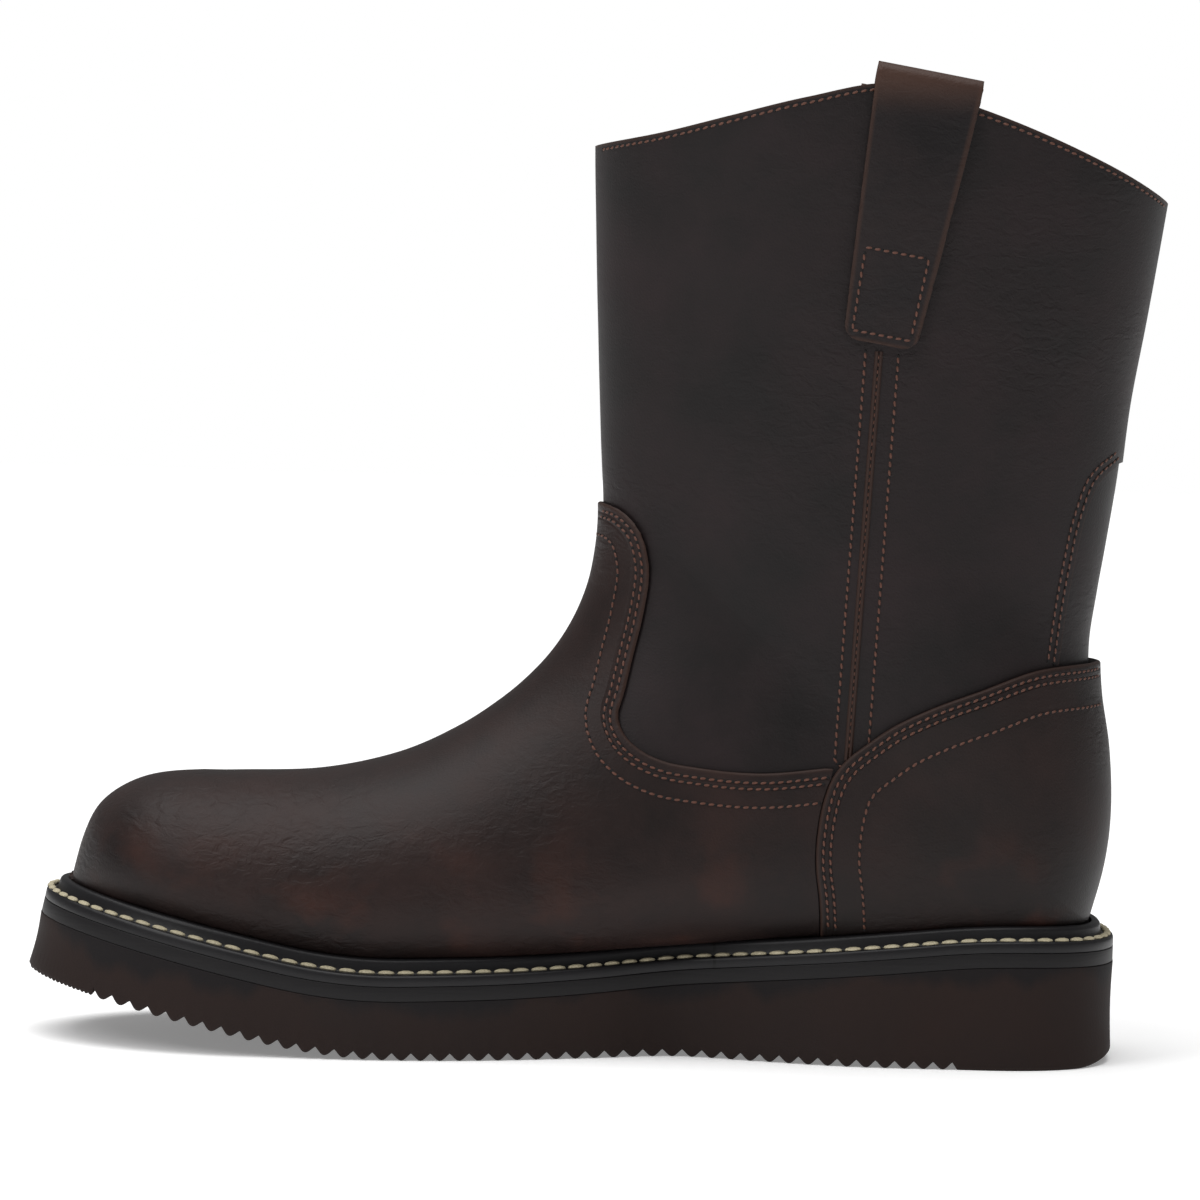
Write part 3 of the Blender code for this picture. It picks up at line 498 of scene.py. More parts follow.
def stitch(mesh, middle, along, up, length, width, segments=6):
    """One stitch: a flattened bead lying along its row."""
    along = Vector(along).normalized()
    up = Vector(up).normalized()
    across = up.cross(along).normalized()
    up = along.cross(across)
    turned = Matrix((along * length / 2, across * width / 2, up * width * 0.36)).transposed().to_4x4()
    bmesh.ops.create_uvsphere(
        mesh,
        u_segments=segments,
        v_segments=5,
        radius=1,
        matrix=Matrix.Translation(middle) @ turned @ Matrix.Rotation(math.pi / 2, 4, "Y"),
    )


def walk(points):
    """How far along it each point of a line lies."""
    steps = np.linalg.norm(np.diff(points, axis=0), axis=1)
    return np.concatenate([[0], np.cumsum(steps)])


dense_turn = np.linspace(0, 2 * math.pi, 2400)
row_points = bent(rim(dense_turn, groove_inset), welt_top)
walked = walk(row_points)
count = round(walked[-1] / WELT_STITCH)
welt_stitches = bmesh.new()
for number in range(count):
    at = walked[-1] * number / count
    middle, ahead = [
        Vector([np.interp((at + way) % walked[-1], walked, row_points[:, axis]) for axis in range(3)])
        for way in (0, 0.001)
    ]
    middle_up = middle + Vector((0, 0, 0.0002))
    stitch(welt_stitches, middle_up, ahead - middle, (0, 0, 1), WELT_STITCH_LENGTH, WELT_THREAD, 8)
fit("welt_stitches", welt_stitches, thread, "welt_rubber")

# ---------------------------------------------------------------------------------------------------
# Insole: a leather board over a cork filling, glued in on top of the welt's seam. Inside the boot it
# carries a thin brown sock lining.

# Vegetable-tanned board, rolled and left unfinished: pale brown, matte, with fine pressed fibres
board = mottled("tanned_leather_board", "#4b382b", "#7a604a", 700.0, 4.0, Roughness=0.8)[0]
bpy.data.objects["insole"].data.materials.clear()
bpy.data.objects["insole"].data.materials.append(board)

# ---------------------------------------------------------------------------------------------------
# Shaft: front and back panels of oiled, pull-up leather, closed at the sides and sewn into one tube
# that is lasted over the insole. It carries every overlay, and its raw top edge shows lighter, partly
# as painted highlight.

WALL = 0.0022
INSERT_STEP = 0.0010
TOE_HEIGHT = 0.034
INSTEP_HEIGHT = 0.110
FRONT_HEIGHT = 0.225
BACK_HEIGHT = 0.202
COLLAR_PEAK = 0.2323
COLLAR_DIP = 0.030
FOOT_WIDTH = BALL_WIDTH - 2 * WELT_EXTENSION
HEEL_SEAT_WIDTH = HEEL_WIDTH - 0.006
ANKLE_WIDTH = 0.076
SHAFT_WIDTH = 0.094
COUNTER_HEIGHT = 0.0733
INSERT_HEIGHT = 0.1295
LOWER_ROUNDNESS = 2.2
CUP_SECTIONS = 5
LEAST_SWELL = 0.0006
LAST_FOOT, LAST_LEG = 16, 28
SHAFT_LEATHER = 0.0011
INSERT_SLOPE = 0.0004
TOE_BLEND_START = 0.222
TOE_BLEND_ROUNDS = 25
COLUMNS = 60
FAR_OFF = 0.02

# Sections of the foot: how far down the feather line, the top line's place along the sole, its height
# as a size and a share of it, a width and the shares of it on each side, belly, crown and shoulder
foot_rows = np.array(
    [
        (0.000, 0.9512, TOE_HEIGHT, 0.000, FOOT_WIDTH, 0.010, 0.010, 0.15, 2.00, 1.00),
        (0.008, 0.9475, TOE_HEIGHT, 0.147, FOOT_WIDTH, 0.125, 0.130, 0.15, 2.00, 1.15),
        (0.029, 0.9400, TOE_HEIGHT, 0.410, FOOT_WIDTH, 0.230, 0.240, 0.20, 2.00, 1.40),
        (0.063, 0.9240, TOE_HEIGHT, 0.703, FOOT_WIDTH, 0.335, 0.350, 0.22, 2.10, 1.75),
        (0.114, 0.8805, TOE_HEIGHT, 0.988, FOOT_WIDTH, 0.420, 0.460, 0.25, 2.20, 2.00),
        (0.183, 0.8110, INSTEP_HEIGHT, 0.356, FOOT_WIDTH, 0.460, 0.520, 0.27, 2.20, 2.10),
        (0.262, 0.7302, INSTEP_HEIGHT, 0.414, FOOT_WIDTH, 0.480, 0.548, 0.28, 2.15, 2.05),
        (0.337, 0.6591, INSTEP_HEIGHT, 0.476, FOOT_WIDTH, 0.482, 0.554, 0.28, 2.10, 1.95),
        (0.413, 0.6042, INSTEP_HEIGHT, 0.545, FOOT_WIDTH, 0.465, 0.532, 0.28, 2.05, 1.85),
        (0.492, 0.5622, INSTEP_HEIGHT, 0.623, FOOT_WIDTH, 0.437, 0.500, 0.28, 2.00, 1.80),
        (0.574, 0.5331, INSTEP_HEIGHT, 0.695, FOOT_WIDTH, 0.415, 0.468, 0.27, 2.00, 1.80),
        (0.656, 0.5121, INSTEP_HEIGHT, 0.765, HEEL_SEAT_WIDTH, 0.507, 0.561, 0.26, 2.00, 1.85),
        (0.738, 0.4963, INSTEP_HEIGHT, 0.841, HEEL_SEAT_WIDTH, 0.500, 0.541, 0.26, 2.00, 1.90),
        (0.821, 0.4853, INSTEP_HEIGHT, 0.923, HEEL_SEAT_WIDTH, 0.497, 0.527, 0.27, 2.00, 1.95),
        (0.896, 0.4798, INSTEP_HEIGHT, 1.005, HEEL_SEAT_WIDTH, 0.493, 0.514, 0.29, 2.00, 2.00),
        (0.958, 0.4776, FRONT_HEIGHT, 0.529, HEEL_SEAT_WIDTH, 0.490, 0.507, 0.32, 2.00, 2.00),
        (1.000, 0.4782, FRONT_HEIGHT, 0.564, HEEL_SEAT_WIDTH, 0.489, 0.503, 0.36, 2.00, 2.00),
    ]
).T
# Rings of the leg: the back line's place and rise, the front line's place and share of its height, a
# width and the share of it on each side, and belly
leg_rows = np.array(
    [
        (0.0181, 0.079, 0.4798, 0.596, HEEL_SEAT_WIDTH, 0.495, 0.40),
        (0.0132, 0.153, 0.4814, 0.629, HEEL_SEAT_WIDTH, 0.501, 0.43),
        (0.0162, 0.238, 0.4827, 0.662, ANKLE_WIDTH, 0.494, 0.45),
        (0.0246, 0.317, 0.4840, 0.696, ANKLE_WIDTH, 0.503, 0.46),
        (0.0268, 0.386, 0.4853, 0.731, ANKLE_WIDTH, 0.511, 0.47),
        (0.0213, 0.455, 0.4866, 0.769, ANKLE_WIDTH, 0.521, 0.48),
        (0.0139, 0.530, 0.4882, 0.813, SHAFT_WIDTH, 0.432, 0.49),
        (0.0058, 0.619, 0.4898, 0.862, SHAFT_WIDTH, 0.445, 0.49),
        (-0.0013, 0.723, 0.4914, 0.916, SHAFT_WIDTH, 0.459, 0.50),
        (-0.0139, 0.842, 0.4931, 0.973, SHAFT_WIDTH, 0.473, 0.50),
        (-0.0265, 0.970, 0.4944, 1.036, SHAFT_WIDTH, 0.487, 0.50),
        (-0.0470, 1.188, 0.4973, 1.147, SHAFT_WIDTH, 0.500, 0.50),
    ]
).T

feather_turn = np.linspace(0, 2 * math.pi, 1440, endpoint=False)
feather = rim(feather_turn, above(extension, VAMP + 2 * GAP))
feather_halves = {MEDIAL: feather[:721], LATERAL: np.concatenate([feather[:1], feather[720:][::-1]])}
feather_heel, feather_toe = feather[0, 0], feather[720, 0]
feather_cap = HEEL_CAP - feather_heel
seat_stations = np.linspace(0, SOLE_LENGTH, 400)
seat = np.stack(place(seat_stations, ridge_top(seat_stations)))


def feather_half(station, side):
    return np.interp(station, feather_halves[side][:, 0], np.abs(feather_halves[side][:, 1]))


def above_seat(along, height):
    x = np.asarray(along) * SOLE_LENGTH - HEEL_CENTRE
    return x, np.interp(np.maximum(x, seat[0, 0]), seat[0], seat[1]) + height


every = np.arange(LAST_LEG + 1)
top_x, top_z = above_seat(
    np.concatenate([foot_rows[1], leg_rows[2]]),
    np.concatenate([foot_rows[2] * foot_rows[3], FRONT_HEIGHT * leg_rows[3]]),
)
heel_x, heel_z = place(feather_heel, ridge_top(feather_heel))
back_x = np.concatenate([[heel_x], SOLE_LENGTH * leg_rows[0] - HEEL_CENTRE])
back_z = np.concatenate([[heel_z], heel_z + BACK_HEIGHT * leg_rows[1]])
down_at = spline(every[:17], foot_rows[0])
back_x_at, back_z_at = spline(every[16:], back_x), spline(every[16:], back_z)
top_x_at, top_z_at = spline(every, top_x), spline(every, top_z)
belly_at = {
    MEDIAL: spline(every, np.concatenate([foot_rows[4] * foot_rows[5], leg_rows[4] * leg_rows[5]])),
    LATERAL: spline(every, np.concatenate([foot_rows[4] * foot_rows[6], leg_rows[4] * leg_rows[5]])),
}
belly_share_at = spline(every, np.concatenate([foot_rows[7], leg_rows[6]]))
crown_at, shoulder_at = spline(every[:17], foot_rows[8]), spline(every[:17], foot_rows[9])
back_line = [curve(np.linspace(LAST_FOOT, LAST_LEG, 200)) for curve in (back_x_at, back_z_at)]


def section_half(section, share, side):
    """Half width of the boot in a section, at shares of its height, with the point (x, z) there."""
    station = feather_toe + (feather_heel - feather_toe) * down_at(section)
    foot_x, foot_z = place(station, ridge_top(station))
    low_x = foot_x if section <= LAST_FOOT else back_x_at(section)
    low_z = foot_z if section <= LAST_FOOT else back_z_at(section)
    bottom = feather_half(max(station, feather_heel + feather_cap), side)
    least = LEAST_SWELL * np.clip(bottom / FOOT_WIDTH * 8, 0, 1)
    spare = belly_at[side](section) - bottom
    widest = bottom + (spare + np.sqrt(spare**2 + 4 * least**2)) / 2
    belly = belly_share_at(section)

    def lower(start):
        reach = belly / (1 - (start / widest) ** LOWER_ROUNDNESS) ** (1 / LOWER_ROUNDNESS)
        fall = np.clip((belly - share) / reach, 0, 1) ** LOWER_ROUNDNESS
        return widest * (1 - fall) ** (1 / LOWER_ROUNDNESS)

    up = np.clip((share - belly) / (1 - belly), 0, 1)
    upper = widest * (1 - up ** shoulder_at(section)) ** (1 / crown_at(section))
    x = low_x + (top_x_at(section) - low_x) * share
    z = low_z + (top_z_at(section) - low_z) * share
    behind = np.clip(x - np.interp(z, back_line[1], back_line[0]), 0, feather_cap)
    filled = feather_half(feather_heel + behind, side) / feather_half(feather_heel + feather_cap, side)
    cupped = np.where(share > belly, upper, lower(bottom)) * filled
    ring = np.where(share > belly, upper, lower(0 * bottom))
    return cupped + (ring - cupped) * blend((section - LAST_FOOT) / CUP_SECTIONS), x, z


def section_line(section, side, columns):
    """Points of the outer surface from the top line to the feather or back line, evenly spaced."""
    share = (1 + np.cos(np.linspace(0, math.pi, 181))) / 2
    half, x, z = section_half(section, share, side)
    walked = walk(np.stack([half, x, z], axis=1))
    share = np.interp(np.linspace(0, walked[-1], columns), walked, share)
    half, x, z = section_half(section, share, side)
    if section >= LAST_FOOT:
        half[-1] = 0
    return np.stack([x, side * half, z], axis=1)


collar_drop = spline(
    (0, 0.08, 0.17, 0.345, 0.49, 0.645, 0.77, 0.89, 1),
    (1, 0.78, 0.565, 0.215, 0, 0.145, 0.32, 0.485, 0.59),
)
collar_back = float(np.interp(BACK_HEIGHT, back_z - heel_z, back_x))
front_rise = top_z[16:] - np.interp(top_x[16:], seat[0], seat[1])
collar_front = float(np.interp(FRONT_HEIGHT, front_rise, top_x[16:]))


def collar_height(x):
    share = (x - collar_back) / (collar_front - collar_back)
    return heel_z + COLLAR_PEAK - COLLAR_DIP * collar_drop(share)


def side_curve(along, share, height):
    """A smooth line seen from the side through an overlay's edge points."""
    x, z = above_seat(along, np.array(share) * height)
    walked = walk(np.stack([x, z], axis=1))
    steps = np.linspace(0, walked[-1], 5 * len(along))
    return np.stack([spline(walked, x)(steps), spline(walked, z)(steps)], axis=1)


def off_line(line, places):
    """Distances of places from a line seen from the side."""
    start, run = line[:-1], np.diff(line, axis=0)
    away = places[:, None, [0, 2]] - start
    along = np.clip((away * run).sum(-1) / (run**2).sum(-1), 0, 1)
    return np.linalg.norm(away - along[..., None] * run, axis=-1).min(axis=1)


def inside(outline, places):
    """How far places lie inside an outline seen from the side, and less than nought outside it."""
    closed = np.concatenate([outline, outline[:1]])
    low, high = closed[:-1], closed[1:]
    x, z = places[:, :1], places[:, 2:]
    spans = (low[:, 1] > z) != (high[:, 1] > z)
    rise = np.where(high[:, 1] == low[:, 1], 1, high[:, 1] - low[:, 1])
    crossed = spans & (x < low[:, 0] + (high[:, 0] - low[:, 0]) * (z - low[:, 1]) / rise)
    return np.where(crossed.sum(axis=1) % 2 == 1, 1, -1) * off_line(closed, places)


def places_of(mesh):
    mesh.verts.index_update()
    return np.array([vert.co[:] for vert in mesh.verts])


def score(mesh, level):
    """Cuts faces along the line where level is nought."""
    values = level(places_of(mesh))
    values = np.where(np.abs(values) < WELD, WELD, values)
    split_at = []
    for edge in list(mesh.edges):
        one, other = edge.verts
        first, second = values[one.index], values[other.index]
        if first * second < 0:
            split_at.append((edge, one, first / (first - second)))
    new = [bmesh.utils.edge_split(edge, vert, share)[1] for edge, vert, share in split_at]
    bmesh.ops.connect_verts(mesh, verts=new)


def faces_outside(mesh, level):
    """The faces on the far side of a scored line, to be taken away."""
    places = np.array([face.calc_center_median()[:] for face in mesh.faces])
    return [face for face, value in zip(list(mesh.faces), level(places)) if value < 0]


def wall(mesh, thickness):
    """Gives an open sheet its thickness inwards."""
    mesh.normal_update()
    inwards = [(vert, vert.normal.copy()) for vert in mesh.verts]
    bmesh.ops.extrude_face_region(mesh, geom=list(mesh.faces))
    for vert, normal in inwards:
        vert.co -= normal * thickness


sections = np.concatenate(
    [[0], np.linspace(0.12, 4, 40), np.linspace(4, 15, 89)[1:], 16 - np.linspace(1, 0.1, 25)[1:] ** 2.2]
    + [np.linspace(16, 28, 97)[1:]]
)


def turn_out(mesh, faces, outwards):
    """Gives a sheet one side, so that these faces look the way in y that outwards says."""
    bmesh.ops.recalc_face_normals(mesh, faces=mesh.faces)
    mesh.normal_update()
    if sum(face.normal.y * outwards(face) for face in faces) < 0:
        bmesh.ops.reverse_faces(mesh, faces=mesh.faces)
    mesh.normal_update()


toe_tip = np.array([[*place(feather_toe, ridge_top(feather_toe)), 0.0]])[:, [0, 2, 1]]
skin_rows = [np.repeat(toe_tip, 2 * COLUMNS - 1, axis=0)]
for section in sections[1:]:
    lateral, medial = [section_line(section, side, COLUMNS) for side in (LATERAL, MEDIAL)]
    skin_rows.append(np.concatenate([lateral[::-1], medial[1:]]))
skin = loft(skin_rows)
toe_verts = [vert for vert in skin.verts if vert.co.x > TOE_BLEND_START and not vert.is_boundary]
for _ in range(TOE_BLEND_ROUNDS):
    bmesh.ops.smooth_vert(
        skin, verts=toe_verts, factor=0.5, use_axis_x=True, use_axis_y=True, use_axis_z=True
    )
feather_edges = [edge for edge in skin.edges if edge.is_boundary and edge.verts[0].co.z < 0.1]
lowered = bmesh.ops.extrude_edge_only(skin, edges=feather_edges)["geom"]
for vert in [item for item in lowered if isinstance(item, bmesh.types.BMVert)]:
    station = np.interp(vert.co.x, seat[0], seat_stations)
    vert.co.x, vert.co.z = [float(part) for part in place(station, midsole_top(station) + 0.0006)]
turn_out(skin, skin.faces, lambda face: face.calc_center_median().y * face.calc_area())
skin_tree = BVHTree.FromBMesh(skin)


def skin_at(x, z, side):
    """The place and the outward normal of the boot's surface, seen from one side at (x, z)."""
    place_hit, normal, _, _ = skin_tree.ray_cast(Vector((x, side * 0.3, z)), Vector((0, -side, 0)))
    return place_hit, normal


insert_edge = side_curve(
    (0.0084, 0.0284, 0.0430, 0.0517, 0.0637), (1.000, 0.963, 0.876, 0.769, 0.554), INSERT_HEIGHT
)
under_counter = heel_z + COUNTER_HEIGHT * 0.9
insert_top, insert_foot = [(-0.12, insert_edge[0, 1])], [(insert_edge[-1, 0], under_counter)]
insert_outline = np.concatenate([insert_top, insert_edge, insert_foot, [(-0.12, under_counter)]])


def leather(name, dark, warm, rust, crease_depth=0.5, grooves=()):
    """Oiled pull-up leather: mottled, satin, with a fine grain and soft creases."""
    made, tree, shader, where = start_finish(
        name, IOR=1.48, Specular_IOR_Level=0.24, Sheen_Weight=0.02
    )
    clouds = add_node(
        tree, "TexNoise", {"Vector": where, "Scale": 24.0, "Detail": 6.0, "Roughness": 0.62}
    )
    spread = add_node(
        tree, "MapRange", {"Value": clouds.outputs["Fac"], "From Min": 0.35, "From Max": 0.65}
    )
    base = add_node(
        tree, "Mix", {0: spread.outputs[0], 6: linear(dark), 7: linear(warm)}, data_type="RGBA"
    )
    low = add_node(tree, "SeparateXYZ", {0: where})
    near_sole = add_node(
        tree,
        "MapRange",
        {"Value": low.outputs["Z"], "From Min": 0.075, "From Max": 0.035},
    )
    patches = add_node(tree, "TexNoise", {"Vector": where, "Scale": 46.0, "Detail": 4.0})
    worn = add_node(
        tree,
        "MapRange",
        {"Value": patches.outputs["Fac"], "From Min": 0.52, "From Max": 0.72},
    )
    rusty = add_node(
        tree, "Math", {0: near_sole.outputs[0], 1: worn.outputs[0]}, operation="MULTIPLY"
    )
    warmed = add_node(
        tree,
        "Mix",
        {0: rusty.outputs[0], 6: base.outputs[2], 7: linear(rust)},
        data_type="RGBA",
    )
    # within about a millimetre of each edge the colour goes lighter and warmer: partly the burnished
    # edge's own colour, partly painted highlight on the rounded edge
    edge = add_node(tree, "Attribute", {}, attribute_name="from_edge")
    edge_burnish_and_highlight = add_node(
        tree,
        "MapRange",
        {
            "Value": edge.outputs["Fac"],
            "From Min": 0.0003,
            "From Max": 0.0011,
            "To Min": 0.8,
            "To Max": 0.0,
        },
    )
    burnished_and_highlit = add_node(
        tree,
        "Mix",
        {0: edge_burnish_and_highlight.outputs[0], 6: warmed.outputs[2], 7: linear("#36241d")},
        data_type="RGBA",
    )
    tree.links.new(burnished_and_highlit.outputs[2], shader.inputs["Base Color"])
    # grain cells of about 1 mm, drawn a little larger than real so that they show
    cells = add_node(
        tree, "TexVoronoi", {"Vector": where, "Scale": 950.0}, feature="DISTANCE_TO_EDGE"
    )
    fold = add_node(tree, "Mapping", {"Vector": where, "Scale": (240.0, 110.0, 420.0)})
    creases = add_node(
        tree,
        "TexNoise",
        {"Vector": fold.outputs[0], "Scale": 1.0, "Detail": 5.0, "Distortion": 0.9},
    )
    flex = add_node(tree, "TexNoise", {"Vector": where, "Scale": 17.0, "Detail": 2.0})
    flexed = add_node(
        tree,
        "MapRange",
        {"Value": flex.outputs["Fac"], "From Min": 0.42, "From Max": 0.66, "To Min": 0.1},
    )
    folded = add_node(
        tree, "Math", {0: creases.outputs["Fac"], 1: flexed.outputs[0]}, operation="MULTIPLY"
    )
    grained = add_node(
        tree,
        "Bump",
        {"Height": cells.outputs["Distance"], "Strength": 0.22, "Distance": 0.0003},
    )
    relief = add_node(
        tree,
        "Bump",
        {
            "Height": folded.outputs[0],
            "Strength": crease_depth,
            "Distance": 0.0012,
            "Normal": grained.outputs[0],
        },
    )
    if grooves:
        # a groove pressed along each row of stitches, drawn from the distance to the panel's edge
        span = 2 * max(grooves)
        rows = add_node(tree, "MapRange", {"Value": edge.outputs["Fac"], "From Max": span})
        sunk = add_node(tree, "ValToRGB", {"Fac": rows.outputs[0]})
        ramp = sunk.color_ramp
        ramp.elements[0].color = (1, 1, 1, 1)
        for groove in grooves:
            for way, tone in ((-0.0006, 1), (0, 0.1), (0.0006, 1)):
                ramp.elements.new((groove + way) / span).color = (tone, tone, tone, 1)
        relief = add_node(
            tree,
            "Bump",
            {
                "Height": sunk.outputs["Color"],
                "Strength": 0.8,
                "Distance": 0.0003,
                "Normal": relief.outputs[0],
            },
        )
    tree.links.new(relief.outputs[0], shader.inputs["Normal"])
    gloss = add_node(
        tree, "MapRange", {"Value": clouds.outputs["Fac"], "To Min": 0.42, "To Max": 0.62}
    )
    tree.links.new(gloss.outputs[0], shader.inputs["Roughness"])
    return made


def mark_edge(mesh, values):
    """Keeps each point's distance from its panel's edge for the material."""
    layer = mesh.verts.layers.float.new("from_edge")
    for vert, value in zip(mesh.verts, values):
        vert[layer] = float(value)


# Oiled full-grain cowhide, tumbled: dark brown to black, satin, warmer where it is stretched
shaft_leather = leather("oiled_shaft_leather", "#130f0f", "#211819", "#2b1a15", 0.35)

shaft = skin.copy()
rim_level = lambda places: collar_height(places[:, 0]) - places[:, 2]
score(shaft, rim_level)
score(shaft, lambda places: inside(insert_outline, places))
score(shaft, lambda places: inside(insert_outline, places) - INSERT_SLOPE)
far = faces_outside(shaft, rim_level)
shaft.normal_update()
start = places_of(shaft)
depth = INSERT_STEP * np.clip(inside(insert_outline, start) / INSERT_SLOPE, 0, 1)
lining = shaft.copy()
bmesh.ops.delete(lining, geom=faces_outside(lining, rim_level), context="FACES")
for vert, sunk_by in zip(shaft.verts, depth):
    vert.co -= vert.normal * float(sunk_by)
off_rim = np.where(start[:, 2] > 0.15, np.abs(rim_level(start)), FAR_OFF)
off_insert = np.where(start[:, 2] < 0.19, np.abs(inside(insert_outline, start)), FAR_OFF)
mark_edge(shaft, np.minimum(np.minimum(off_rim, off_insert + 0.0006), FAR_OFF))
bmesh.ops.delete(shaft, geom=far, context="FACES")
wall(shaft, SHAFT_LEATHER)
fit("shaft_leather", shaft, shaft_leather, "oiled_leather", "upper", sharp=45)

# ---------------------------------------------------------------------------------------------------
# Lining: soft brown leather glued inside the shaft and sewn to it at the collar, from the rim down to
# the insole. It shows only from above.

LINING = 0.0010

# Drum-dyed lining leather: matte mid brown with a soft nap
nap = mottled("dyed_lining_leather", "#1f1714", "#33261f", 420.0, 5.0, Roughness=0.82)[0]
lining.normal_update()
for vert, normal in [(vert, vert.normal.copy()) for vert in lining.verts]:
    vert.co -= normal * (SHAFT_LEATHER + 0.0001)
wall(lining, LINING)
fit("shaft_lining", lining, nap, "leather_board")

# ---------------------------------------------------------------------------------------------------
# Vamp: one piece of oiled leather over toe, instep and sides, with a rounded tongue that rises on the
# front of the shaft. Its skived edge is burnished and drawn lighter, partly as painted highlight, and
# it is sewn down with two close rows and a third.

TONGUE_HEIGHT = 0.1253
PANEL_EDGE = 0.0007
VAMP_LEATHER = 0.0010
VAMP_ROWS = (0.0025, 0.0042, 0.0093)

vamp_edge = side_curve(
    (0.483, 0.462, 0.444, 0.434, 0.438, 0.446, 0.454, 0.459, 0.453, 0.439, 0.421, 0.385, 0.332, 0.267),
    (1, 0.981, 0.937, 0.860, 0.740, 0.654, 0.567, 0.519, 0.480, 0.446, 0.422, 0.399, 0.378, 0.379),
    TONGUE_HEIGHT,
)
counter_edge = side_curve(
    (0.0245, 0.0895, 0.136, 0.182, 0.217, 0.235, 0.2565, 0.2665, 0.273, 0.278, 0.279, 0.275, 0.272),
    (1, 0.966, 0.900, 0.842, 0.779, 0.730, 0.663, 0.608, 0.536, 0.423, 0.273, 0.156, 0.019),
    COUNTER_HEIGHT,
)


def panel(outline, edge_line, thickness, leather_wall):
    """A leather overlay on the skin inside an outline, its edge along edge_line skived round."""
    mesh = skin.copy()
    for way in (0, 0.00025, PANEL_EDGE):
        score(mesh, lambda places: inside(outline, places) - way)
    outside = faces_outside(mesh, lambda places: inside(outline, places))
    mesh.normal_update()
    start = places_of(mesh)
    off = off_line(edge_line, start)
    round_over = np.sqrt(1 - (1 - np.clip(off / PANEL_EDGE, 0, 1)) ** 2)
    for vert, share in zip(mesh.verts, round_over):
        vert.co += vert.normal * float(GAP + thickness * (0.5 + 0.5 * share))
    mark_edge(mesh, np.minimum(off, FAR_OFF))
    bmesh.ops.delete(mesh, geom=outside, context="FACES")
    tree = BVHTree.FromBMesh(mesh)
    wall(mesh, leather_wall)
    return mesh, tree


# The same hide as the shaft, a little warmer and more creased, with rusty patches low on the toe
vamp_leather = leather("oiled_vamp_leather", "#170f0e", "#2a1b18", "#3a1f17", 0.5, VAMP_ROWS[:2])

behind = counter_edge[counter_edge[:, 1] < vamp_edge[-1, 1] - GAP] + (GAP, 0)
vamp_outline = np.concatenate(
    [[(0.36, vamp_edge[0, 1])], vamp_edge, behind, [(behind[-1, 0], -0.06), (0.36, -0.06)]]
)
vamp, vamp_tree = panel(vamp_outline, vamp_edge, VAMP, VAMP_LEATHER)
fit("vamp_leather", vamp, vamp_leather, "vamp_leather", "vamp", sharp=50)

# ---------------------------------------------------------------------------------------------------
# Counter: an overlay of the same leather round the heel, over a stiffener and the ends of the vamp. It
# is lasted in under the welt with the shaft and sewn down along its curved top edge.

COUNTER_LEATHER = 0.0016
COUNTER_ROWS = (0.0020, 0.0040, 0.012)

# The vamp's leather again, with its two close rows a little nearer to the edge
counter_leather = leather(
    "oiled_counter_leather", "#150f0e", "#251917", "#381e17", 0.35, COUNTER_ROWS[:2]
)

counter_outline = np.concatenate([[(-0.12, counter_edge[0, 1])], counter_edge])
counter_outline = np.concatenate([counter_outline, [(counter_edge[-1, 0], -0.06), (-0.12, -0.06)]])
counter, counter_tree = panel(counter_outline, counter_edge, COUNTER, COUNTER_LEATHER)
fit("counter_leather", counter, counter_leather, "vamp_leather", "counter", sharp=50)

# ---------------------------------------------------------------------------------------------------
# Side seams: the front and back of the shaft are stitched edge to edge under a narrow rolled bead that
# runs from the pull strap down to the vamp, with a row of thread through its middle.

STRAP_THICKNESS = 0.0020
STRAP_TOP = 0.024
STRAP_FOOT = 0.0352
STRAP_DROP = 0.0700
SEAM_FOOT = 0.0402
SEAM_FOOT_HEIGHT = 0.0455
SEAM_WIDTH = 0.0022
SEAM_RISE = 0.0009
BEAD_LEATHER = 0.0004

# The shaft's leather rolled tight over the seam: darker, with hardly a crease
seam_leather = leather("rolled_seam_leather", "#0f0a0a", "#201413", "#2c1d16", 0.2)
seam_trees = {}
collar_top = float(collar_height(STRAP_TOP))
seam_z = np.linspace(heel_z + SEAM_FOOT_HEIGHT, collar_top - STRAP_DROP - STRAP_THICKNESS, 70)
seam_x = SEAM_FOOT + (STRAP_FOOT - SEAM_FOOT) * (seam_z - seam_z[0]) / (seam_z[-1] - seam_z[0])
for side, word in ((MEDIAL, "medial"), (LATERAL, "lateral")):
    rows = []
    for x, z in zip(seam_x, seam_z):
        row = []
        for across in np.linspace(-1, 1, 9):
            at, _ = skin_at(float(x + across * SEAM_WIDTH / 2), float(z), side)
            rise = SEAM_RISE * ((1 - abs(across) ** 3) * 0.75 - 0.7 * math.exp(-((across / 0.22) ** 2)))
            row.append((at.x, at.y + side * (GAP * 0.5 + max(rise, 0.0)), at.z))
        rows.append(row)
    bead = loft(rows)
    turn_out(bead, bead.faces, lambda face: side)
    seam_trees[side] = BVHTree.FromBMesh(bead)
    wall(bead, BEAD_LEATHER)
    fit(f"side_seam_bead_{word}", bead, seam_leather, "oiled_leather", f"side_seam_{word}", sharp=60)

# ---------------------------------------------------------------------------------------------------
# Pull straps: a strip of brown leather on each side, folded over the collar into a finger loop. Its
# outer leg narrows to a foot with round corners, box-stitched to the shaft; the inner leg lies inside.

STRAP_TOP_WIDTH = 0.029
STRAP_FOOT_WIDTH = 0.0200
STRAP_INSIDE_DROP = 0.050
STRAP_LOOP = {MEDIAL: 0.0016, LATERAL: -0.0002}
STRAP_TILT = 0.166
STRAP_CORNER = 0.004
STRAP_SWELL = 0.0009
STRAP_EDGE = 0.0005
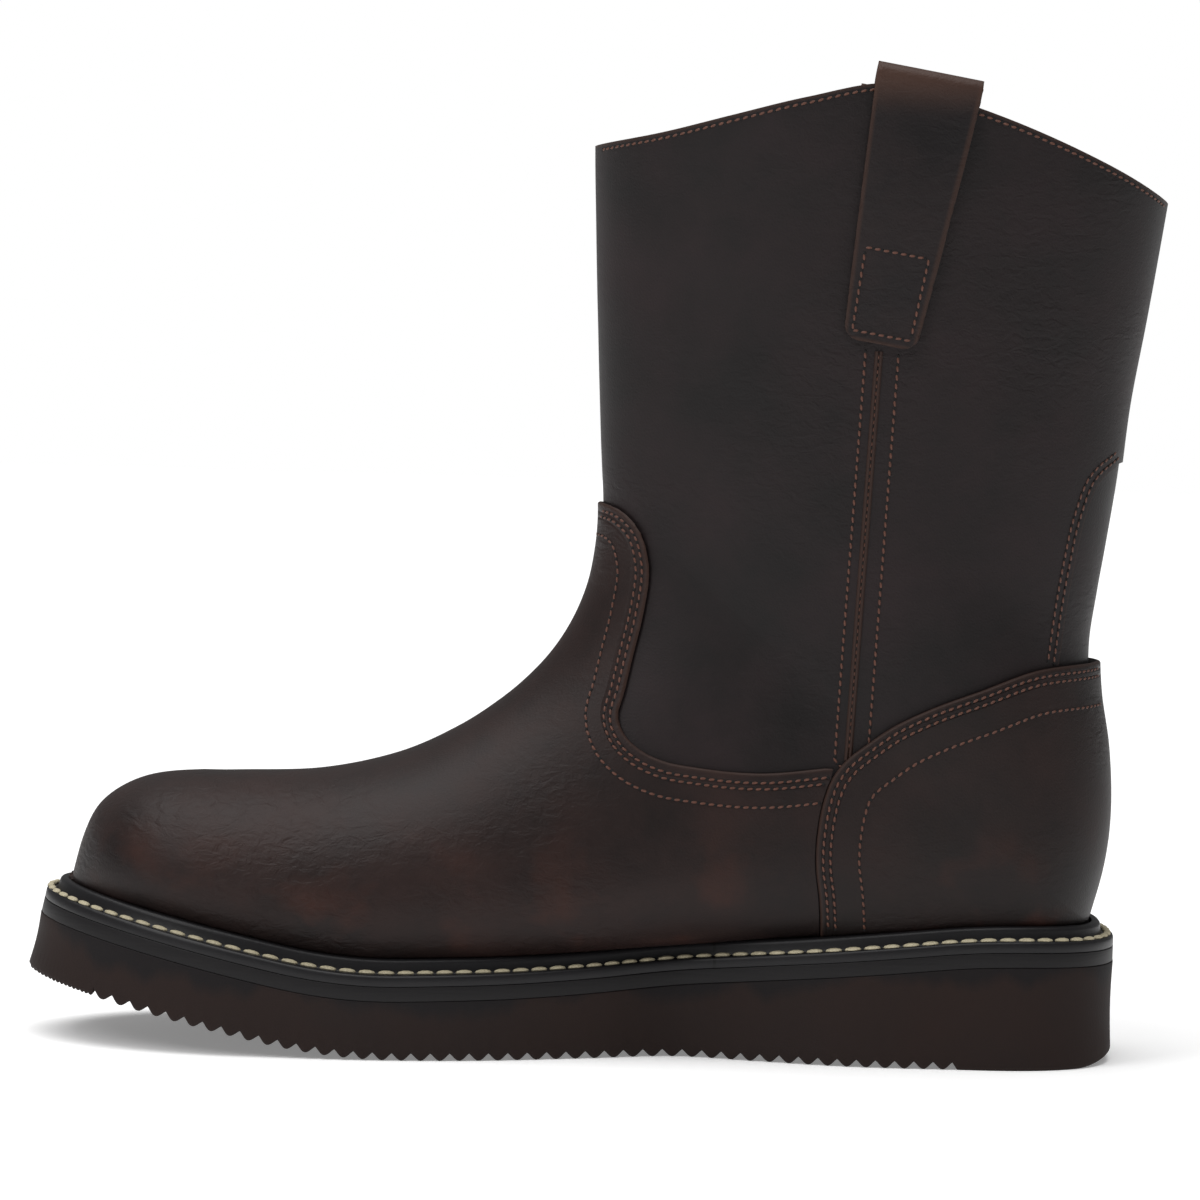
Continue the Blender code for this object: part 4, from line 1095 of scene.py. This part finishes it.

# Waxed leather of a browner dye than the shaft's, worn lighter along its edges, partly as painted
# highlight
strap_leather = leather("waxed_strap_leather", "#141011", "#231a1a", "#2e1f1b", 0.3)
tree = strap_leather.node_tree
shader = tree.nodes["Principled BSDF"]
body_colour = shader.inputs["Base Color"].links[0].from_socket
where = tree.nodes["Texture Coordinate"].outputs["Object"]
# drawn lighter in the last 12 mm: partly the wax breaking where the leather is bent over, partly
# painted highlight on the top of the fold
up = add_node(tree, "SeparateXYZ", {0: where})
fold_wax_and_highlight = add_node(
    tree,
    "MapRange",
    {"Value": up.outputs["Z"], "From Min": 0.262, "From Max": 0.276, "To Max": 0.85},
    interpolation_type="SMOOTHSTEP",
)
pulled_up_and_highlit = add_node(
    tree,
    "Mix",
    {0: fold_wax_and_highlight.outputs[0], 6: body_colour, 7: linear("#4a342b")},
    data_type="RGBA",
)
tree.links.new(pulled_up_and_highlit.outputs[2], shader.inputs["Base Color"])
strap_lean = (STRAP_FOOT - STRAP_TOP) / STRAP_DROP
strap_foot_z = collar_top - STRAP_DROP
strap_out = GAP + STRAP_THICKNESS / 2
strap_in = -(WALL + GAP * 1.5 + STRAP_THICKNESS / 2)
fold_radius = (strap_out - strap_in) / 2


def strap_path(loop_height):
    """The strap's middle line as (offset, z): from its foot up, round the fold and down inside."""
    path = [(strap_out, strap_foot_z + rise) for rise in (0, 0.0004, 0.001, 0.0018, 0.0028, 0.004)]
    path += [(strap_out, z) for z in np.linspace(strap_foot_z + 0.006, loop_height, 34)]
    for angle in np.linspace(0, math.pi, 15)[1:-1]:
        way = (strap_out + strap_in) / 2 + fold_radius * math.cos(angle)
        path.append((way, loop_height + fold_radius * math.sin(angle)))
    return path + [(strap_in, z) for z in np.linspace(loop_height, collar_top - STRAP_INSIDE_DROP, 26)]


strap_trees = {}
for side, word in ((MEDIAL, "medial"), (LATERAL, "lateral")):
    rows = []
    for offset, z in strap_path(collar_top + STRAP_LOOP[side]):
        share = np.clip((z - strap_foot_z) / STRAP_DROP, 0, 1)
        width = STRAP_FOOT_WIDTH + (STRAP_TOP_WIDTH - STRAP_FOOT_WIDTH) * share
        if offset == strap_out:
            left = np.clip((z - strap_foot_z) / STRAP_CORNER, 0, 1)
            width -= 2 * STRAP_CORNER * (1 - math.sqrt(1 - (1 - left) ** 2))
        row = []
        swell = STRAP_SWELL * max(math.sin(math.pi * np.clip(share * 1.15 - 0.1, 0, 1)), 0)
        for across in np.concatenate([[-0.5, -0.485], np.linspace(-0.45, 0.45, 13), [0.485, 0.5]]):
            x = STRAP_TOP + strap_lean * (collar_top - z) + across * width
            height = z + across * width * STRAP_TILT
            at, _ = skin_at(float(x), float(min(height, collar_top + STRAP_LOOP[side])), side)
            rise = swell * math.cos(math.pi * across) if offset == strap_out else 0
            row.append((x, side * (abs(at.y) + offset + rise), height))
        rows.append(row)
    strap = loft(rows)
    outer_leg = [
        face for face in strap.faces if abs(face.calc_center_median().z - strap_foot_z - 0.03) < 0.01
    ]
    outer_leg.sort(key=lambda face: -abs(face.calc_center_median().y))
    turn_out(strap, outer_leg[: len(outer_leg) // 3], lambda face: side)
    for vert, normal in [(vert, vert.normal.copy()) for vert in strap.verts]:
        vert.co += normal * STRAP_THICKNESS / 2
    start = places_of(strap)
    lean_x = STRAP_TOP + strap_lean * (collar_top - start[:, 2])
    wide = STRAP_FOOT_WIDTH + (STRAP_TOP_WIDTH - STRAP_FOOT_WIDTH) * np.clip(
        (start[:, 2] - strap_foot_z) / STRAP_DROP, 0, 1
    )
    level = start[:, 2] - (start[:, 0] - lean_x) * STRAP_TILT
    off = np.minimum(wide / 2 - np.abs(start[:, 0] - lean_x), level - strap_foot_z)
    mark_edge(strap, np.clip(off, 0, FAR_OFF))
    strap_trees[side] = BVHTree.FromBMesh(strap)
    wall(strap, STRAP_THICKNESS)
    sharp_edges = [
        edge for edge in strap.edges if edge.is_manifold and edge.calc_face_angle(0) > math.radians(60)
    ]
    bmesh.ops.bevel(
        strap,
        geom=sharp_edges,
        offset=STRAP_EDGE,
        offset_type="OFFSET",
        segments=2,
        profile=0.5,
        affect="EDGES",
        material=-1,
    )
    fit(f"strap_leather_{word}", strap, strap_leather, "strap_leather", f"pull_strap_{word}", sharp=60)

# ---------------------------------------------------------------------------------------------------
# Panel stitching: brown waxed thread in two close rows along each overlay's edge, a third row inside
# them, and rows at the collar, the side seams and the straps' feet, with a dark dot of painted shade
# for the needle hole at each stitch.

FINE_STEP = 0.00015
LONGEST_STEP = 0.004
HOLE_LENGTH = 0.0011
HOLE_WIDTH = 0.0010
INSERT_ROWS = (0.0016, 0.0034)
COLLAR_ROW = 0.0017
SEAM_ROWS = (0.0037, 0.0054)
BOX_LOW = 0.0024
BOX_HIGH = 0.0250

# Brown waxed thread: satin, a shade lighter than the leather that it holds
brown_thread = mottled("waxed_brown_thread", "#3a1f16", "#6e4230", 2400.0, 2.0, Roughness=0.55)[0]


def shifted(line, way):
    """A line moved sideways, to the right of its run for a positive way."""
    run = np.gradient(line, axis=0)
    run /= np.linalg.norm(run, axis=1)[:, None]
    moved = line + np.stack([run[:, 1], -run[:, 0]], axis=1) * way
    clear = off_line(line, np.insert(moved, 1, 0, axis=1)) > abs(way) * 0.985
    return moved[clear]


def runs_on(tree, line, side):
    """The parts of a line seen from the side that lie on a surface, as lists of (place, normal)."""
    walked = walk(line)
    runs = [[]]
    for step in np.arange(0, walked[-1], FINE_STEP):
        x, z = np.interp(step, walked, line[:, 0]), np.interp(step, walked, line[:, 1])
        at, normal, _, _ = tree.ray_cast(Vector((x, side * 0.3, z)), Vector((0, -side, 0)))
        if at is None or at.y * side < 0.0005 or abs(normal.y) < 0.015:
            runs.append([])
            continue
        if runs[-1] and (at - runs[-1][-1][0]).length > LONGEST_STEP:
            runs.append([])
        runs[-1].append((at, normal))
    return [run for run in runs if len(run) > 20]


def stitch_row(mesh, tree, line, side, pitch=0.0024, length=0.0018, width=0.0007, slant=0.16):
    """Stitches along a line seen from the side, on the surface that a tree holds, each with a dark dot
    of painted shade for its needle hole.
    """
    row, row_hole_shades = bmesh.new(), bmesh.new()
    for run in runs_on(tree, line, side):
        spots = np.array([at[:] for at, _ in run])
        walked = walk(spots)
        for step in np.arange(pitch * 0.4, walked[-1] - pitch * 0.3, pitch):
            before, here, after, hole = [
                Vector([np.interp(step + way * pitch, walked, spots[:, axis]) for axis in range(3)])
                for way in (-0.4, 0, 0.4, 0.5)
            ]
            normal = run[min(int(np.searchsorted(walked, step)), len(run) - 1)][1]
            along = (after - before).normalized()
            turned = Matrix.Rotation(slant, 3, normal) @ along
            stitch(row, here + normal * 0.00008, turned, normal, length, width)
            # a near-black dot of painted shade for the needle hole, half a pitch ahead of the stitch
            stitch(row_hole_shades, hole, along, normal, HOLE_LENGTH, HOLE_WIDTH, 5)
    for single, whole in ((row, mesh), (row_hole_shades, needle_hole_shades)):
        sewn = bpy.data.meshes.new("sewn_row")
        single.to_mesh(sewn)
        whole.from_mesh(sewn)
        bpy.data.meshes.remove(sewn)
        single.free()


# Needle holes: the pricked leather round each thread, drawn as a dark dot as wide as the thread,
# painted shade in the hole
needle_hole_shade_finish = mottled("needle_hole_painted_shade", "#050404", "#0d0908", 900.0, 2.0, Roughness=0.9)[0]
needle_hole_shades = bmesh.new()
shaft_stitches, vamp_stitches, counter_stitches, strap_stitches = [bmesh.new() for _ in range(4)]
for side in (MEDIAL, LATERAL):
    for way in VAMP_ROWS:
        stitch_row(vamp_stitches, vamp_tree, shifted(vamp_edge[1:], -way), side)
    for way in COUNTER_ROWS:
        stitch_row(counter_stitches, counter_tree, shifted(counter_edge, way), side)
    for way in INSERT_ROWS:
        stitch_row(shaft_stitches, skin_tree, shifted(insert_edge, -way), side)
    collar_x = np.linspace(collar_back + 0.002, collar_front - 0.002, 120)
    collar_row = np.stack([collar_x, collar_height(collar_x) - COLLAR_ROW], axis=1)
    stitch_row(shaft_stitches, skin_tree, collar_row, side)
    seam_line = np.stack([seam_x, seam_z], axis=1)
    stitch_row(shaft_stitches, seam_trees[side], seam_line[2:], side, 0.0020, 0.0013, 0.0006, 0)
    front_row, back_row = seam_line + (SEAM_ROWS[0], 0), seam_line - (SEAM_ROWS[1], 0)
    hook = np.concatenate([[seam_line[0] + (0.0012, -0.0026)], front_row])
    stitch_row(shaft_stitches, skin_tree, hook, side)
    stitch_row(shaft_stitches, skin_tree, back_row, side)
    tree = strap_trees[side]
    mid = lambda rise: STRAP_TOP + strap_lean * (collar_top - strap_foot_z - rise)
    half_low, half_high = STRAP_FOOT_WIDTH / 2 - 0.0020, STRAP_FOOT_WIDTH / 2 - 0.0013
    corners = [
        (mid(rise) + way, strap_foot_z + rise + way * STRAP_TILT)
        for rise, way in (
            *((BOX_LOW, -half_low), (BOX_LOW, half_low)),
            *((BOX_HIGH, half_high), (BOX_HIGH, -half_high)),
        )
    ]
    for one, other in zip(corners, corners[1:] + corners[:1]):
        stitch_row(strap_stitches, tree, np.linspace(one, other, 12), side)
for name, mesh, slot in (
    ("vamp_stitches", vamp_stitches, "vamp_leather"),
    ("counter_stitches", counter_stitches, "vamp_leather"),
    ("shaft_stitches", shaft_stitches, "oiled_leather"),
    ("strap_stitches", strap_stitches, "strap_leather"),
):
    fit(name, mesh, brown_thread, slot)
# the dots of painted shade at the needle holes
fit("needle_hole_shades", needle_hole_shades, needle_hole_shade_finish, "oiled_leather")

# ---------------------------------------------------------------------------------------------------
# Studio: a seamless white floor, soft daylight from all round, and a long lens level with the ankle.
# The boot is seen from its medial side, its toe to the left, with the photograph's slight roll.

# White paper sweep: matte, and bright enough to fade out behind the boot
paper = mottled(
    "white_paper_sweep",
    *("#fbfbfb", "#ffffff", 60.0, 3.0),
    Roughness=0.9,
    Specular_IOR_Level=0.1,
    Emission_Color=(1, 1, 1, 1),
    Emission_Strength=0.22,
)[0]
floor_mesh = bmesh.new()
bmesh.ops.create_grid(floor_mesh, x_segments=2, y_segments=2, size=6)
floor_data = bpy.data.meshes.new("studio_floor")
floor_mesh.to_mesh(floor_data)
floor_mesh.free()
floor_data.materials.append(paper)
studio_floor = bpy.data.objects.new("studio_floor", floor_data)
bpy.context.scene.collection.objects.link(studio_floor)

world = bpy.data.worlds.new("white_studio")
bpy.context.scene.world = world
world.use_nodes = True
sky = world.node_tree
backdrop = sky.nodes["Background"]
backdrop.inputs["Color"].default_value = (1, 1, 1, 1)
fill = add_node(sky, "Background", {"Color": (1, 1, 1, 1), "Strength": 0.2})
seen = sky.nodes.new("ShaderNodeLightPath").outputs["Is Camera Ray"]
both = add_node(sky, "MixShader", {0: seen, 1: fill.outputs[0], 2: backdrop.outputs[0]})
sky.links.new(both.outputs[0], sky.nodes["World Output"].inputs["Surface"])
bpy.context.scene.view_settings.view_transform = "Standard"
bpy.context.scene.view_settings.look = "None"

daylight = bpy.data.lights.new("diffused_daylight", "SUN")
daylight.energy = 2.5
daylight.angle = math.radians(60)
daylight_lamp = bpy.data.objects.new("diffused_daylight", daylight)
daylight_lamp.rotation_euler = Vector((-0.12, -0.04, -1)).to_track_quat("-Z", "Y").to_euler()
bpy.context.scene.collection.objects.link(daylight_lamp)

# a small softbox before the toe, for the highlight on it
softbox = bpy.data.lights.new("toe_softbox", "AREA")
softbox.shape = "RECTANGLE"
softbox.size, softbox.size_y = 0.5, 0.6
softbox.energy = 5
softbox_lamp = bpy.data.objects.new("toe_softbox", softbox)
softbox_lamp.location = (0.95, 0.9, 1.0)
towards_toe = Vector((0.2, 0, 0.07)) - softbox_lamp.location
softbox_lamp.rotation_euler = towards_toe.to_track_quat("-Z", "Y").to_euler()
bpy.context.scene.collection.objects.link(softbox_lamp)

lens = bpy.data.cameras.new("long_lens")
lens.sensor_width = 36
lens.lens = 158.9
lens.clip_end = 50
camera = bpy.data.objects.new("photo_camera", lens)
eye, aim = Vector((0.1101, 1.5, 0.200)), Vector((0.1101, 0, 0.126))
turned = (aim - eye).to_track_quat("-Z", "Y").to_matrix().to_4x4()
camera.matrix_world = Matrix.Translation(eye) @ turned @ Matrix.Rotation(0.0262, 4, "Z")
bpy.context.scene.collection.objects.link(camera)
bpy.context.scene.camera = camera
